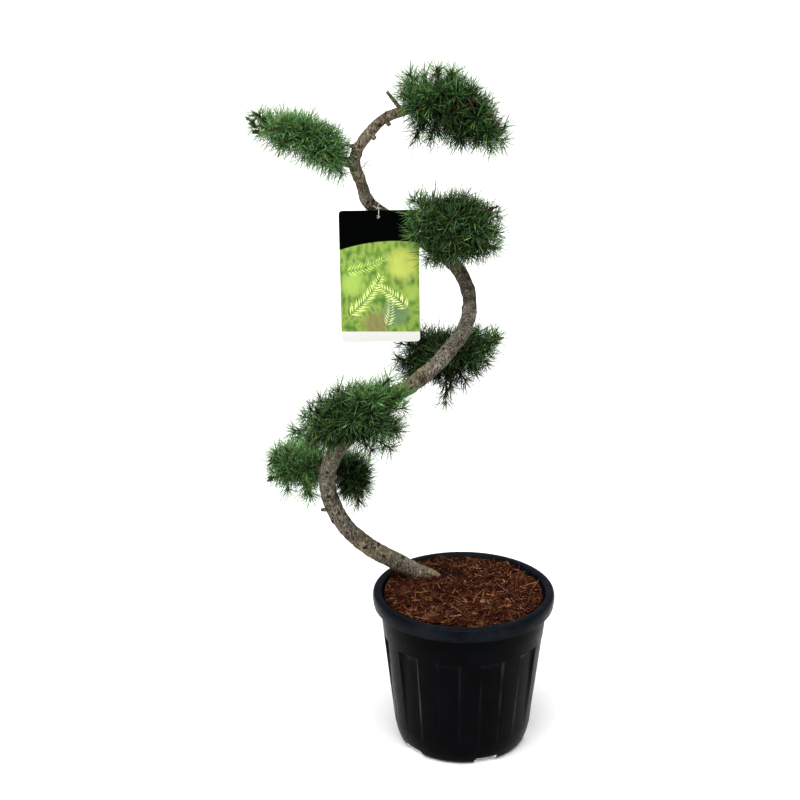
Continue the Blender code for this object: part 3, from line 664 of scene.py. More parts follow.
def plastic_material():
    """Black moulded plastic, uneven in patches, paler and bluer on the lip, with a fine satin grain."""
    n = Nodes("pot_black_plastic", specular=0.05)
    patches = n.noise(9, 5, 0.6)
    body = n.ramp(patches, ((0.35, (0.0006, 0.0008, 0.0012)), (0.75, (0.0022, 0.0026, 0.0036))))
    over_skirt = n.math("SUBTRACT", n.position()[2], LIP_SKIRT + 1 * MM)
    lip = n.step(over_skirt, -3 * MM, 3 * MM)
    # Paler and bluer on the lip above the skirt.
    pale_lip = n.ramp(patches, ((0.35, (0.0028, 0.0042, 0.0066)), (0.7, (0.0105, 0.0134, 0.0185))))
    n.colour(n.mix("ADD", 1.0, n.mix("MIX", lip, body, pale_lip), n.tint()))
    rough = n.ramp(n.noise(26, 4, 0.6), ((0.3, (0.26, 0.26, 0.26)), (0.8, (0.44, 0.44, 0.44))))
    n.link(rough, n.shader["Roughness"])
    n.bump(n.noise(650, 3, 0.5), 0.12, 0.0004)
    return n.material


def bark_material():
    """Grey-brown bark: pale, lichened scales over dark cracks."""
    n = Nodes("larch_bark", 0.88, 0.25)
    coarse = n.noise(110, 8, 0.7)
    fine = n.noise(520, 5, 0.7)
    lichen = n.noise(230, 4, 0.6)
    stops = (
        (0.34, (0.022, 0.017, 0.011)),
        (0.44, (0.095, 0.078, 0.056)),
        (0.53, (0.25, 0.22, 0.168)),
        (0.66, (0.5, 0.465, 0.39)),
    )
    speckle = n.ramp(fine, ((0.36, (0.22, 0.2, 0.18)), (0.6, (1, 1, 1))))
    spots = n.ramp(lichen, ((0.6, (0, 0, 0)), (0.66, (0.55, 0.55, 0.55))))
    colour = n.mix("MIX", spots, n.ramp(coarse, stops), (0.5, 0.5, 0.44))
    shaded = n.mix("MULTIPLY", 0.7, colour, speckle)
    n.colour(n.mix("MULTIPLY", 1.0, shaded, n.tint()))
    n.bump(n.math("ADD", coarse, n.math("MULTIPLY", fine, 0.6)), 0.9, 0.0018)
    return n.material


def tie_material():
    """Pale twisted cord."""
    n = Nodes("pale_cord", 0.7)
    wave = n.add("TexWave", {"Scale": 260, "Distortion": 1.5}).outputs["Fac"]
    n.colour(n.ramp(wave, ((0.2, (0.46, 0.43, 0.36)), (0.8, (0.8, 0.78, 0.7)))))
    n.bump(wave, 0.4, 0.0003)
    return n.material


def front_angle(points):
    """The angle round the pot from the front, growing towards the right."""
    return np.arctan2(points[:, 0], -points[:, 1])


def smooth_step(value):
    value = np.clip(value, 0, 1)
    return value * value * (3 - 2 * value)


def flute_share(points):
    """How much of the flute's depth applies to each point, and how near it is to a side edge."""
    spacing = 2 * math.pi / FLUTE_COUNT
    from_start = front_angle(points) - FLUTE_START + spacing / 2
    away = np.abs(from_start % spacing - spacing / 2) / spacing
    across = smooth_step((FLUTE_HALF - away) / FLUTE_SIDE)
    z = points[:, 2]
    ledge = smooth_step((FLUTE_LEDGE - z) / LEDGE_DROP)
    depth = ledge * np.clip((z - RIB_FOOT) / (FLUTE_LEDGE - RIB_FOOT), 0, 1)
    return across * depth, 4 * across * (1 - across) * np.sqrt(depth)


def rounded(profile, radius, steps=4):
    """The profile with its corners cut to arcs of about this radius."""
    line = [np.array(profile[0])]
    for before, corner, after in zip(profile, profile[1:], profile[2:]):
        before, corner, after = (np.array(point) for point in (before, corner, after))
        back = before - corner
        ahead = after - corner
        reach = min(radius, 0.45 * np.linalg.norm(back), 0.45 * np.linalg.norm(ahead))
        start = corner + back / np.linalg.norm(back) * reach
        end = corner + ahead / np.linalg.norm(ahead) * reach
        line += [bow(start, corner, end, step / steps) for step in range(steps + 1)]
    line.append(np.array(profile[-1]))
    return line


def spaced(profile, longest):
    """The profile with points added where two lie further apart than this."""
    line = [profile[0]]
    for start, end in zip(profile, profile[1:]):
        count = max(1, math.ceil(np.linalg.norm(end - start) / longest))
        line += [start + (end - start) * (i + 1) / count for i in range(count)]
    return line


def turned(profile, steps):
    """Points and faces of a turned form whose profile begins and ends on the axis."""
    body = np.array(profile[1:-1])
    angle = 2 * math.pi * np.arange(steps) / steps
    radius = body[:, :1]
    rows = (radius * np.cos(angle)[None], radius * np.sin(angle)[None], np.repeat(body[:, 1:], steps, 1))
    points = np.stack(rows, 2).reshape(-1, 3)
    faces = ring_faces(len(body), steps)
    top = len(points)
    points = np.concatenate([points, [[0, 0, profile[0][1]], [0, 0, profile[-1][1]]]])
    final = (len(body) - 1) * steps
    for k in range(steps):
        after = (k + 1) % steps
        faces.append([top, after, k])
        faces.append([top + 1, final + k, final + after])
    return points, faces


def notch_cutter(turn):
    """A block with a rounded upper side, for an opening in the pot's foot."""
    notch = bmesh.new()
    size = Matrix.Diagonal((NOTCH_WIDTH, 40 * MM, 2 * NOTCH_HEIGHT, 1))
    place = Matrix.Translation((0, -FOOT_RADIUS - 8 * MM, 0))
    bmesh.ops.create_cube(notch, size=1, matrix=turn @ place @ size)
    across = [
        edge
        for edge in notch.edges
        if min(vertex.co.z for vertex in edge.verts) > 0
        and abs((turn.inverted() @ (edge.verts[0].co - edge.verts[1].co)).y) > 10 * MM
    ]
    bmesh.ops.bevel(notch, geom=across, offset=3 * MM, segments=4, affect="EDGES", profile=0.5)
    return notch


def drain_cutter(turn):
    drain = bmesh.new()
    place = turn @ Matrix.Translation((0, -DRAIN_CIRCLE, BASE_UNDERSIDE))
    sizes = {"radius1": DRAIN_RADIUS, "radius2": DRAIN_RADIUS, "depth": 12 * MM}
    bmesh.ops.create_cone(drain, cap_ends=True, segments=32, matrix=place, **sizes)
    return drain


def build_pot():
    """The turned pot with its flutes pressed in, and its notches and drain holes cut out."""
    form = turned(spaced(rounded(POT_PROFILE, CORNER_RADIUS), PROFILE_SPACING), POT_STEPS)
    points = form[0]
    radius = np.linalg.norm(points[:, :2], axis=1)
    wall = radius > BASE_REACH
    share, edge = flute_share(points)
    share = share * wall
    points[:, :2] *= (1 - FLUTE_DEPTH * share / np.maximum(radius, 1e-6))[:, None]
    # Pale marks on the rib edges: light scuffing on every edge, plus a painted highlight that is
    # strongest at a set angle either side of the front.
    angle = np.abs(front_angle(points))
    scuff_and_highlight = edge * wall * (WORN_LEAST + np.exp(-(((angle - HIGHLIGHT_ANGLE) / HIGHLIGHT_SPREAD) ** 2)))
    mark_breaks = [0.6 + noise.noise(Vector(point) * 30) for point in points]
    tints = (scuff_and_highlight * np.clip(mark_breaks, 0.1, 1))[:, None] * np.array(SCUFF_AND_HIGHLIGHT)
    pot = add_piece("nursery_pot", form, tints, plastic_material(), "pot_plastic", "pot")
    cutters = []
    for i in range(NOTCH_COUNT):
        turn = Matrix.Rotation(NOTCH_START + 2 * math.pi * i / NOTCH_COUNT, 4, "Z")
        cutters += [notch_cutter(turn), drain_cutter(turn)]
    cut(pot, cutters)
    pot.data.shade_smooth()
    pot.data.set_sharp_from_angle(angle=SHARP_EDGE)


def cut(piece, shapes):
    """Takes the shapes out of the piece, then applies the cut and removes them."""
    collection = bpy.data.collections.new("cutters")
    for i, shape in enumerate(shapes):
        mesh = bpy.data.meshes.new(f"cutter_{i}")
        shape.to_mesh(mesh)
        shape.free()
        collection.objects.link(bpy.data.objects.new(f"cutter_{i}", mesh))
    bpy.context.scene.collection.children.link(collection)
    modifier = piece.modifiers.new("cut", "BOOLEAN")
    modifier.operation = "DIFFERENCE"
    modifier.operand_type = "COLLECTION"
    modifier.collection = collection
    modifier.solver = "MANIFOLD"
    bpy.context.view_layer.update()
    graph = bpy.context.evaluated_depsgraph_get()
    result = bpy.data.meshes.new_from_object(piece.evaluated_get(graph))
    piece.modifiers.clear()
    piece.data = result
    for obj in list(collection.objects):
        bpy.data.objects.remove(obj, do_unlink=True)
    bpy.data.collections.remove(collection)


def soil_height(x, y):
    """The level of the soil's surface: a low swell with dips, settled lower at the wall."""
    place = Vector((x, y, 0))
    swell = noise.noise(place * 22) + 0.6 * noise.noise(place * 55 + Vector((7, 3, 1)))
    fall = math.hypot(x, y) / COLLAR_RADIUS
    return SOIL_LEVEL + SOIL_LEAN * x + SOIL_SWELL * (swell + 0.5 - fall)


def build_soil():
    """A lumpy bed that fills the pot, with loose fibres and bark chips strewn over it."""
    side = [(radius - (SOIL_GAP + FLUTE_DEPTH), height) for radius, height in INNER_PROFILE]
    side[0] = (side[0][0], side[0][1] + SOIL_GAP)
    side.append((COLLAR_RADIUS - 5 * MM, COLLAR_BOTTOM + 4 * MM))
    top = [(SOIL_RADIUS * (1 - i / SOIL_RINGS), SOIL_LEVEL) for i in range(SOIL_RINGS)]
    profile = [(0, SOIL_LEVEL), *top[::-1], *side[::-1], (0, side[0][1])]
    points, faces = turned(profile, SOIL_STEPS)
    for point in points:
        if point[2] > SOIL_LEVEL - 1 * MM:
            crumb = noise.noise(Vector((point[0], point[1], 0)) * 210)
            point[2] = soil_height(point[0], point[1]) + CRUMB_LIFT * (0.6 + crumb)
    form = (points, [face[::-1] for face in faces])
    add_piece("soil_bed", form, BED_TINT, grained_material("soil_crumb"), "soil_fibre", "soil")
    draw = np.random.default_rng(SOIL_SEED)
    strew_fibres(draw)
    strew_chips(draw)


def strewn_places(draw, count, reach):
    """Random points on the soil, clear of the stem."""
    stem = np.array([place[:2] for place, _ in TRUNK_LINE if place.z < SOIL_LEVEL + 9 * MM])
    places = []
    while len(places) < count:
        radius = reach * math.sqrt(draw.random())
        angle = 2 * math.pi * draw.random()
        x, y = radius * math.cos(angle), radius * math.sin(angle)
        if np.hypot(stem[:, 0] - x, stem[:, 1] - y).min() > STEM_GAP:
            places.append((x, y, soil_height(x, y) + CRUMB_LIFT))
    return np.array(places)


def bark_tints(draw, count):
    """Reddish browns, some dark and a few straw-coloured."""
    choice = draw.random(count)
    tints = np.empty((count, 3))
    tints[:] = (0.85, 0.72, 0.7)
    tints[choice < 0.46] = (0.34, 0.17, 0.14)
    tints[choice > 0.68] = (1.4, 1.5, 1.6)
    tints[choice > 0.87] = (2.3, 3.3, 3.7)
    return tints * draw.lognormal(0, 0.3, (count, 1))


def strew_fibres(draw):
    """Thin fibres lying every way on the soil, and one long straw behind the stem."""
    places = strewn_places(draw, FIBRE_COUNT, SOIL_RADIUS - 3 * MM)
    places[:, 2] += draw.uniform(-2.5, 4.0, FIBRE_COUNT) * MM
    angle = draw.uniform(0, 2 * math.pi, FIBRE_COUNT)
    lift = draw.normal(0.1, 0.26, FIBRE_COUNT)
    ways = unit(np.stack([np.cos(angle), np.sin(angle), lift], 1))
    lengths = draw.gamma(3.4, 4.8, FIBRE_COUNT) * MM
    widths = draw.gamma(3.0, 0.3, FIBRE_COUNT) * MM
    bends = draw.normal(0, 0.2, (FIBRE_COUNT, 3))
    bends[:, 2] -= 0.1
    roots = places - ways * lengths[:, None] * 0.5
    far = np.linalg.norm(roots[:, :2] + (ways + bends)[:, :2] * lengths[:, None], axis=1)
    near = np.linalg.norm(roots[:, :2], axis=1)
    kept = (np.maximum(far, near) < SOIL_RADIUS - 0.5 * MM) & (lengths > 4 * MM)
    start, end = (mm(point) for point in STRAW)
    roots[0], ways[0], bends[0] = end, (start - end).normalized(), (0, 0, 0)
    lengths[0], widths[0] = (start - end).length, STRAW_RADIUS
    kept[0] = True
    rows = (row[kept] for row in (roots, ways, lengths, widths, bends))
    form, _ = blades(*rows, FIBRE_FLATNESS)
    tints = np.repeat(bark_tints(draw, FIBRE_COUNT)[kept], BLADE_POINTS, axis=0)
    add_piece("soil_fibres", form, tints, grained_material("coir_fibre"), "soil_fibre")


def strew_chips(draw):
    """Flat, ragged chips of bark: squashed and jittered balls lying at odd angles."""
    ball = bmesh.new()
    bmesh.ops.create_icosphere(ball, subdivisions=2, radius=1)
    shape = np.array([vertex.co for vertex in ball.verts])
    faces = [[vertex.index for vertex in face.verts] for face in ball.faces]
    ball.free()
    points = []
    for place in strewn_places(draw, CHIP_COUNT, SOIL_RADIUS - 8 * MM):
        size = draw.gamma(3.4, 1.2) * MM
        size = size * np.array([1.0, draw.uniform(0.35, 0.7), draw.uniform(0.16, 0.34)])
        local = np.sign(shape) * np.abs(shape) ** 0.7 * size
        local += draw.normal(0, 0.1, local.shape) * size
        turn = Matrix.Rotation(draw.uniform(0, 2 * math.pi), 3, "Z")
        turn = turn @ Matrix.Rotation(draw.normal(0, 0.35), 3, "X")
        turn = turn @ Matrix.Rotation(draw.normal(0, 0.3), 3, "Y")
        rise = np.array([0, 0, draw.uniform(-2.5, 1.8) * MM])
        points.append(local @ np.array(turn).T + place + rise)
    form = (np.concatenate(points), copies(faces, len(shape), CHIP_COUNT))
    tints = np.repeat(bark_tints(draw, CHIP_COUNT), len(shape), axis=0)
    chips = add_piece("soil_chips", form, tints, grained_material("bark_chip"), "soil_fibre")
    chips.data.shade_flat()


def knot_spots():
    """Where every knot sits on the bark, with many small ones strewn by a seeded draw."""
    spots = []
    for height, across, size in KNOTS:
        place, radius, front, side = stem_section(
            TRUNK_LINE, KNOT_FRONT, lambda point: abs(point.z - height * MM)
        )
        if side.x < 0:
            side = -side
        facing = side * across + front * math.sqrt(1 - across**2)
        spots.append((place + facing * radius, size * MM))
    draw = random.Random(KNOT_SEED)
    for _ in range(SMALL_KNOTS):
        place, radius = draw.choice(TRUNK_LINE[30:-20])
        facing = Vector([draw.gauss(0, 1) for _ in range(3)]).normalized()
        spots.append((place + facing * radius, draw.uniform(2.0, 4.2) * MM))
    return spots


def knot_lift(point):
    """How far a knot raises the bark here, with a sunk middle, and how dark its ring is.

    A rim that would come out paler than KNOT_PALEST is left as plain bark.
    """
    lift = 0
    rings = []
    for centre, radius in KNOT_SPOTS:
        away = (point - centre).length / radius
        if away < KNOT_REACH:
            lift += radius * (0.42 * math.exp(-1.4 * away**2) - 0.3 * math.exp(-9 * away**2))
            rim = math.exp(-(((away - 1.1) / 0.3) ** 2))
            rings.append(math.exp(-((away / 0.68) ** 4)) - 0.35 * rim)
    ring = max(rings, default=0)
    return lift, ring if ring > KNOT_PALEST else 0


def bark_lift(point):
    """The relief of the bark: a lumpy stem with small scales parted by fine cracks."""
    lumps = noise.noise(point * 38)
    scales = noise.noise(point * 120 + Vector((9, 2, 4)))
    cracks = max(0, 0.2 - abs(noise.noise(point * 150 + Vector((5, 0, 7)))))
    return (1.3 * lumps + 1.1 * scales - 4.0 * cracks + 0.45) * 0.75 * MM


def bark_tint(point, lift, up):
    """Painted light and shade: paler where the bark faces up and darker beneath; paler where raised and
    darker in the cracks, partly painted shade and partly the bark's own colour. With rusty and mossy
    stretches and a darker band at one height.
    """
    # Painted light: paler facing up, darker facing down. Cracks darker: partly painted shade, partly the
    # bark's own colour.
    shade = (0.9 + 620 * lift) * (0.86 + 0.16 * up)
    rust = noise.noise(point * 18 + Vector((3, 8, 2)))
    moss = max(0, noise.noise(point * 26 + Vector((1, 5, 9))))
    # Darker in a band round one height.
    dark_band = 1 - 0.26 * math.exp(-(((point.z - DARK_BAND_HEIGHT) / DARK_BAND_SPREAD) ** 2))
    rust += 0.9 * math.exp(-(((point.z - RUSTY_HEIGHT) / RUSTY_SPREAD) ** 2))
    return np.array((1.03 + 0.1 * rust, 1 + 0.12 * moss, 0.97 - 0.14 * rust)) * dark_band * shade


def bark_tube(line, sides):
    """A barked tube: its points and faces, and its tints."""
    rings, outs = rings_along(line, sides)
    tints = np.ones((len(rings), sides, 3))
    for i, (_, radius) in enumerate(line):
        rough = min(1, radius / (9 * MM))
        for k in range(sides):
            point = Vector(rings[i, k])
            lift = bark_lift(point) * rough
            bump, ring = knot_lift(point)
            rings[i, k] += outs[i, k] * (lift + bump)
            tints[i, k] = bark_tint(point, lift, outs[i, k][2]) * (1 - 0.88 * ring)
    return tube(rings), np.clip(tints, 0.12, 1.8).reshape(-1, 3)


def build_trunk():
    """The stem, the branches of the sprays and the broken twigs as one barked piece."""
    pieces = [bark_tube(TRUNK_LINE, BARK_SIDES)]
    for spray in SPRAYS.values():
        last = len(spray.branch) - 1
        line = [
            (mm(point), spray.radius * MM * (1.5 - 0.5 * i / last))
            for i, point in enumerate(spray.branch)
        ]
        if line:
            pieces.append(bark_tube(smooth_line(line, 8), BRANCH_SIDES))
    for start, end, radius in STUBS:
        line = [(mm(start).lerp(mm(end), i / 6), radius * MM * (1.25 - 0.06 * i)) for i in range(7)]
        pieces.append(bark_tube(line, STUB_SIDES))
    forms, tints = zip(*pieces)
    add_piece("bark_stem", joined(forms), np.concatenate(tints), bark_material(), "bark", "trunk")


def spray_shoots(spray):
    """The spray's stem and its curved shoots, each a list of points out to the dome."""
    draw = random.Random(spray.seed)
    lean = Matrix.Rotation(-math.radians(spray.tilt), 3, "Y")
    stem = smooth_line([(mm(point), 0) for point in spray.stem], 6)
    starts = [place for place, _ in stem][3:]
    tips = [mm(point) for point in spray.stray]
    for i in range(spray.shoots):
        height = 1 - (1 - DOME_FLOOR) * (i + 0.5) / spray.shoots
        level = math.sqrt(max(0, 1 - height**2))
        angle = GOLDEN_ANGLE * i + spray.seed
        reach = draw.uniform(*SHOOT_REACH)
        out = Vector((level * math.cos(angle), level * math.sin(angle), height)) * reach
        tips.append(mm(spray.centre) + lean @ Vector(a * b for a, b in zip(out, mm(spray.half))))
    shoots = []
    for tip in tips:
        start = min(starts, key=lambda place: (place - tip).length + 8 * MM * draw.random())
        span = tip - start
        sag = Vector((draw.uniform(-0.1, 0.1), draw.uniform(-0.1, 0.1), -0.14)) * span.length
        middle = (start + tip) / 2 + sag
        shoots.append([bow(start, middle, tip, step / SHOOT_STEPS) for step in range(SHOOT_STEPS + 1)])
    return stem, shoots


def square_pair(ways):
    """Two directions square to these ways and to each other."""
    side = unit(np.cross(ways, SPUR_ASIDE))
    return side, np.cross(ways, side)


def spray_spurs(spray, shoots, draw):
    """Where tufts of needles sit on the shoots, and the way each tuft faces."""
    centre, half = np.array(mm(spray.centre)), np.array(mm(spray.half))
    roots, ways = [], []
    turn = 0.0
    for points in shoots:
        places = np.array(points)
        gaps = np.linalg.norm(np.diff(places, axis=0), axis=1)
        reach = np.concatenate([[0], np.cumsum(gaps)])
        count = max(2, int(TUFTED_SHARE * reach[-1] / SPUR_SPACING))
        for i in range(count + 1):
            at = reach[-1] * (BARE_SHARE + TUFTED_SHARE * i / count)
            place, before = (
                np.array([np.interp(spot, reach, places[:, axis]) for axis in range(3)])
                for spot in (at, at - 3 * MM)
            )
            ahead = unit(place - before)
            turn += GOLDEN_ANGLE
            side, other = square_pair(ahead)
            out = side * math.cos(turn) + other * math.sin(turn)
            outward = unit((place - centre) / half)
            forward, aside = (1.6, 0.1) if i == count else (0.35, 0.75)
            way = ahead * forward + out * aside + outward * 0.7
            way = way + np.array([0, 0, 0.25]) + draw.normal(0, 0.12, 3)
            roots.append(place)
            ways.append(unit(way))
    return np.array(roots), np.array(ways)


def tuft_needles(roots, ways, draw):
    """A rosette of needles on every spur: roots, directions, lengths and bends."""
    count = len(roots)
    numbers = np.arange(SPUR_NEEDLES)
    angle = numbers * GOLDEN_ANGLE + draw.uniform(0, 2 * math.pi, (count, 1))
    slant = np.radians(14 + 62 * np.sqrt((numbers + 0.5) / SPUR_NEEDLES))[None]
    slant = slant + draw.normal(0, 0.13, (count, SPUR_NEEDLES))
    side, other = square_pair(ways)
    across = side[:, None] * np.cos(angle)[..., None] + other[:, None] * np.sin(angle)[..., None]
    needle_ways = unit(ways[:, None] * np.cos(slant)[..., None] + across * np.sin(slant)[..., None])
    lengths = NEEDLE_LENGTH * draw.normal(1.0, 0.22, (count, SPUR_NEEDLES))
    lengths = np.clip(lengths, 0.4 * NEEDLE_LENGTH, 1.45 * NEEDLE_LENGTH)
    bends = ways[:, None] * draw.normal(0.5 * NEEDLE_BEND, NEEDLE_BEND, (count, SPUR_NEEDLES, 1))
    bends = bends + draw.normal(0, 0.05, bends.shape)
    starts = np.repeat(roots[:, None], SPUR_NEEDLES, 1) + ways[:, None] * 1.2 * MM
    rows = (starts, needle_ways, lengths, bends)
    return [row.reshape(count * SPUR_NEEDLES, *row.shape[2:]) for row in rows]


def clear_of_wood(roots, tips):
    """Which needles miss the stem and the label card."""
    places = np.array([place for place, _ in TRUNK_LINE[::4]])
    radii = np.array([radius for _, radius in TRUNK_LINE[::4]])
    good = np.ones(len(roots), bool)
    for share in CHECKED_SHARES:
        points = roots + (tips - roots) * share
        for start in range(0, len(points), CHECKED_AT_ONCE):
            block = slice(start, start + CHECKED_AT_ONCE)
            gaps = np.linalg.norm(points[block, None] - places[None], axis=2) - radii[None]
            good[block] &= gaps.min(axis=1) > CLEARANCE
    before = roots[:, 1] - CARD_CENTRE.y
    after = tips[:, 1] - CARD_CENTRE.y
    through = before * after < 0
    share = before / np.where(np.abs(before - after) < 1e-9, 1, before - after)
    crossing = roots + (tips - roots) * share[:, None]
    beside = np.abs(crossing[:, 0] - CARD_CENTRE.x) < CARD_WIDTH / 2 + 1 * MM
    level = np.abs(crossing[:, 2] - CARD_CENTRE.z) < CARD_HEIGHT / 2 + 1 * MM
    return good & ~(through & beside & level)


def inside_box(roots, ways, lengths):
    """Shortens the needles whose tips would leave the solids' box by more than a little."""
    low, high = (np.array(corner) for corner in cad_box)
    slack = (high - low) * BEYOND_BOX
    tips = roots + ways * lengths[:, None]
    span = tips - roots
    share = np.ones(len(roots))
    for axis in range(3):
        for limit, way in ((high[axis] + slack[axis], 1), (low[axis] - slack[axis], -1)):
            past = way * (tips[:, axis] - limit) > 0
            room = way * (limit - roots[:, axis])
            share[past] = np.minimum(share[past], room[past] / (way * span[past, axis]))
    return lengths * np.clip(share, 0.05, 1)


def needle_tints(spray, roots, along, draw):
    """Green, with painted shade deeper inside the spray and painted light on its top and outside, over
    fresher and darker needles at random, each needle darker towards its root as painted shade, with
    paler ends.
    """
    offset = (roots - np.array(mm(spray.centre))) / np.array(mm(spray.half))
    outer = np.clip(np.linalg.norm(offset, axis=1), 0, 1.2)
    height = np.clip(offset[:, 2], -1, 1)
    # Painted shade inside the spray and painted light on its top and outside, over a random spread of
    # needle greens.
    fresh = spray.fresh - 0.16 + 0.62 * outer**2.4 + 0.2 * height
    fresh = np.clip(fresh + draw.normal(0, 0.26, len(roots)), 0, 1)
    tint = DEEP_SHADED_GREEN + (FRESH_LIT_GREEN - DEEP_SHADED_GREEN) * fresh[:, None]
    tint = tint * draw.lognormal(0, 0.36, (len(roots), 1))
    blue = draw.random(len(roots)) < 0.35
    tint[blue] = tint[blue] * (0.92, 0.96, 1.5)
    dry = draw.random(len(roots)) < 0.03
    tint[dry] = DRY_NEEDLE
    tint = np.repeat(tint, BLADE_POINTS, axis=0)
    pale = smooth_step((along - 0.8) / 0.2)[:, None]
    # Painted shade: each needle darker towards its root, inside its tuft.
    base = smooth_step((0.5 - along) / 0.5)[:, None]
    tint = tint * (1 - 0.3 * pale) + PALE_END * 0.3 * pale
    return tint * (1 - 0.6 * base)


def build_needles(name, spray, spurs, facing, draw):
    """The spray's needles: a tuft on every spur, and the single ones."""
    roots, ways, lengths, bends = tuft_needles(spurs, facing, draw)
    kept = clear_of_wood(roots, roots + (ways + bends) * lengths[:, None])
    roots, ways, lengths, bends = (rows[kept] for rows in (roots, ways, lengths, bends))
    lengths = inside_box(roots, ways + bends, lengths)
    tufted = len(roots)
    for start, end in LONE_NEEDLES.get(name, ()):
        span = mm(end) - mm(start)
        roots = np.append(roots, [mm(start)], axis=0)
        ways = np.append(ways, [span.normalized()], axis=0)
        lengths = np.append(lengths, span.length)
        bends = np.append(bends, [LONE_BEND], axis=0)
    widths = NEEDLE_WIDTH * draw.uniform(0.8, 1.15, len(roots))
    widths[tufted:] = LONE_WIDTH
    form, along = blades(roots, ways, lengths, widths, bends)
    tints = needle_tints(spray, roots, along, draw)
    tints[tufted * BLADE_POINTS :] = LONE_TINT
    add_piece(name + "_needles", form, tints, NEEDLE_FINISH, "needles", name)


def build_twigs(name, spray, stem, shoots, spurs, facing, draw):
    """The spray's stem, its shoots, a knob under every tuft, and the buds."""
    last = len(stem) - 1
    thick = spray.radius * MM
    lines = [[(place, thick * (1 - 0.62 * i / last)) for i, (place, _) in enumerate(stem)]]
    for shoot in shoots:
        lines.append([(place, (1.9 - 0.2 * i) * MM) for i, place in enumerate(shoot)])
    for place, way in zip(spurs, facing):
        knob, ahead = Vector(place), Vector(way)
        lines.append([(knob + ahead * at * MM, radius * MM) for at, radius in SPUR_FORM])
    for bud in BUDS.get(name, ()):
        tip = mm(bud)
        outward = (tip - mm(spray.centre)).normalized()
        for _ in range(BUDS_TOGETHER):
            way = (outward + Vector(draw.normal(0, 0.5, 3))).normalized()
            start = tip + Vector(draw.normal(0, 2.2, 3)) * MM
            reach = draw.uniform(5, 10) * MM
            lines.append([(start + way * reach * t, radius * MM) for t, radius in BUD_FORM])
    add_piece(name + "_twigs", tubes(lines, TWIG_SIDES), WHITE, TWIG_FINISH, "bark")


def card_point(across, up, proud):
    """A point on the card's face from shares of its width and height, from -0.5 to 0.5."""
    turn = Matrix.Rotation(-CARD_TILT, 3, "Y")
    offset = turn @ Vector((across * CARD_WIDTH, 0, up * CARD_HEIGHT))
    return CARD_CENTRE + offset + Vector((0, -CARD_THICKNESS / 2 - proud, 0))


def soft_spot(n, across, up, at, size, edge):
    """A round spot with a soft edge: 1 inside and 0 outside."""
    dx = n.math("MULTIPLY", n.math("SUBTRACT", across, at[0]), CARD_WIDTH / CARD_HEIGHT)
    dy = n.math("SUBTRACT", up, at[1])
    square = n.math("ADD", n.math("MULTIPLY", dx, dx), n.math("MULTIPLY", dy, dy))
    return n.step(n.math("SQRT", square), size + edge, size)


def above(n, value, level, edge=0.004):
    return n.step(n.math("SUBTRACT", value, level), -edge, edge)


def card_material():
    """A printed card: a black head, a soft yellow-green blur and a white foot."""
    n = Nodes("card_print", 0.4, 0.02)
    place = n.position()
    across = n.math("DIVIDE", n.math("SUBTRACT", place[0], CARD_CENTRE.x), CARD_WIDTH)
    up = n.math("DIVIDE", n.math("SUBTRACT", place[2], CARD_CENTRE.z), CARD_HEIGHT)
    stops = (
        (0.3, (0.1, 0.2, 0.055)),
        (0.45, (0.2, 0.32, 0.07)),
        (0.58, (0.32, 0.43, 0.1)),
        (0.72, (0.14, 0.25, 0.12)),
    )
    field = n.ramp(n.noise(14, 2, 0.4), stops)
    for at, size, edge, colour in (
        ((0.2, -0.28), 0.05, 0.09, (0.16, 0.25, 0.15)),
        ((-0.34, -0.05), 0.04, 0.08, (0.42, 0.58, 0.14)),
        ((0.3, 0.1), 0.06, 0.1, (0.6, 0.66, 0.16)),
        ((-0.05, -0.36), 0.05, 0.07, (0.3, 0.24, 0.12)),
        ((0.42, -0.12), 0.03, 0.06, (0.38, 0.52, 0.12)),
    ):
        spot = soft_spot(n, across, up, at, size, edge)
        field = n.mix("MIX", n.math("MULTIPLY", spot, 0.75), field, colour)
    off_peak = n.math("SUBTRACT", across, 0.2)
    curve = n.math("MULTIPLY", n.math("MULTIPLY", off_peak, off_peak), -0.14)
    head_edge = n.math("ADD", curve, 0.272)
    head = above(n, n.math("SUBTRACT", up, head_edge), 0.0)
    foot = above(n, n.math("MULTIPLY", up, -1.0), 0.42)
    picture = n.mix("MIX", head, field, (0.0004, 0.0012, 0.0006))
    n.colour(n.mix("MIX", foot, picture, (0.76, 0.76, 0.735)))
    n.bump(n.noise(300, 2, 0.5), 0.05, 0.0002)
    return n.material


def sprig(base, heading, length, leaves, leaf_length, tint, draw):
    """A printed sprig: paired narrow leaves along a curved line, as flat outlines on the card."""
    shapes = []
    angle = heading
    place = np.array(base)
    step = length / leaves
    for i in range(leaves + 1):
        root = place
        angle += 0.5 / leaves
        place = place + step * np.array([math.cos(angle), math.sin(angle)])
        if i == 0:
            continue
        for side in (-1, 1):
            lean = angle + side * (0.85 + draw.normal(0, 0.08))
            reach = leaf_length * (1 - 0.45 * i / leaves) * draw.uniform(0.85, 1.1)
            out = np.array([math.cos(lean), math.sin(lean)])
            across = np.array([-out[1], out[0]]) * reach * 0.085
            middle = root + out * reach * 0.4
            shape = [root, middle + across, root + out * reach, middle - across]
            shapes.append((shape, np.array(tint) * draw.uniform(0.85, 1.15)))
    return shapes


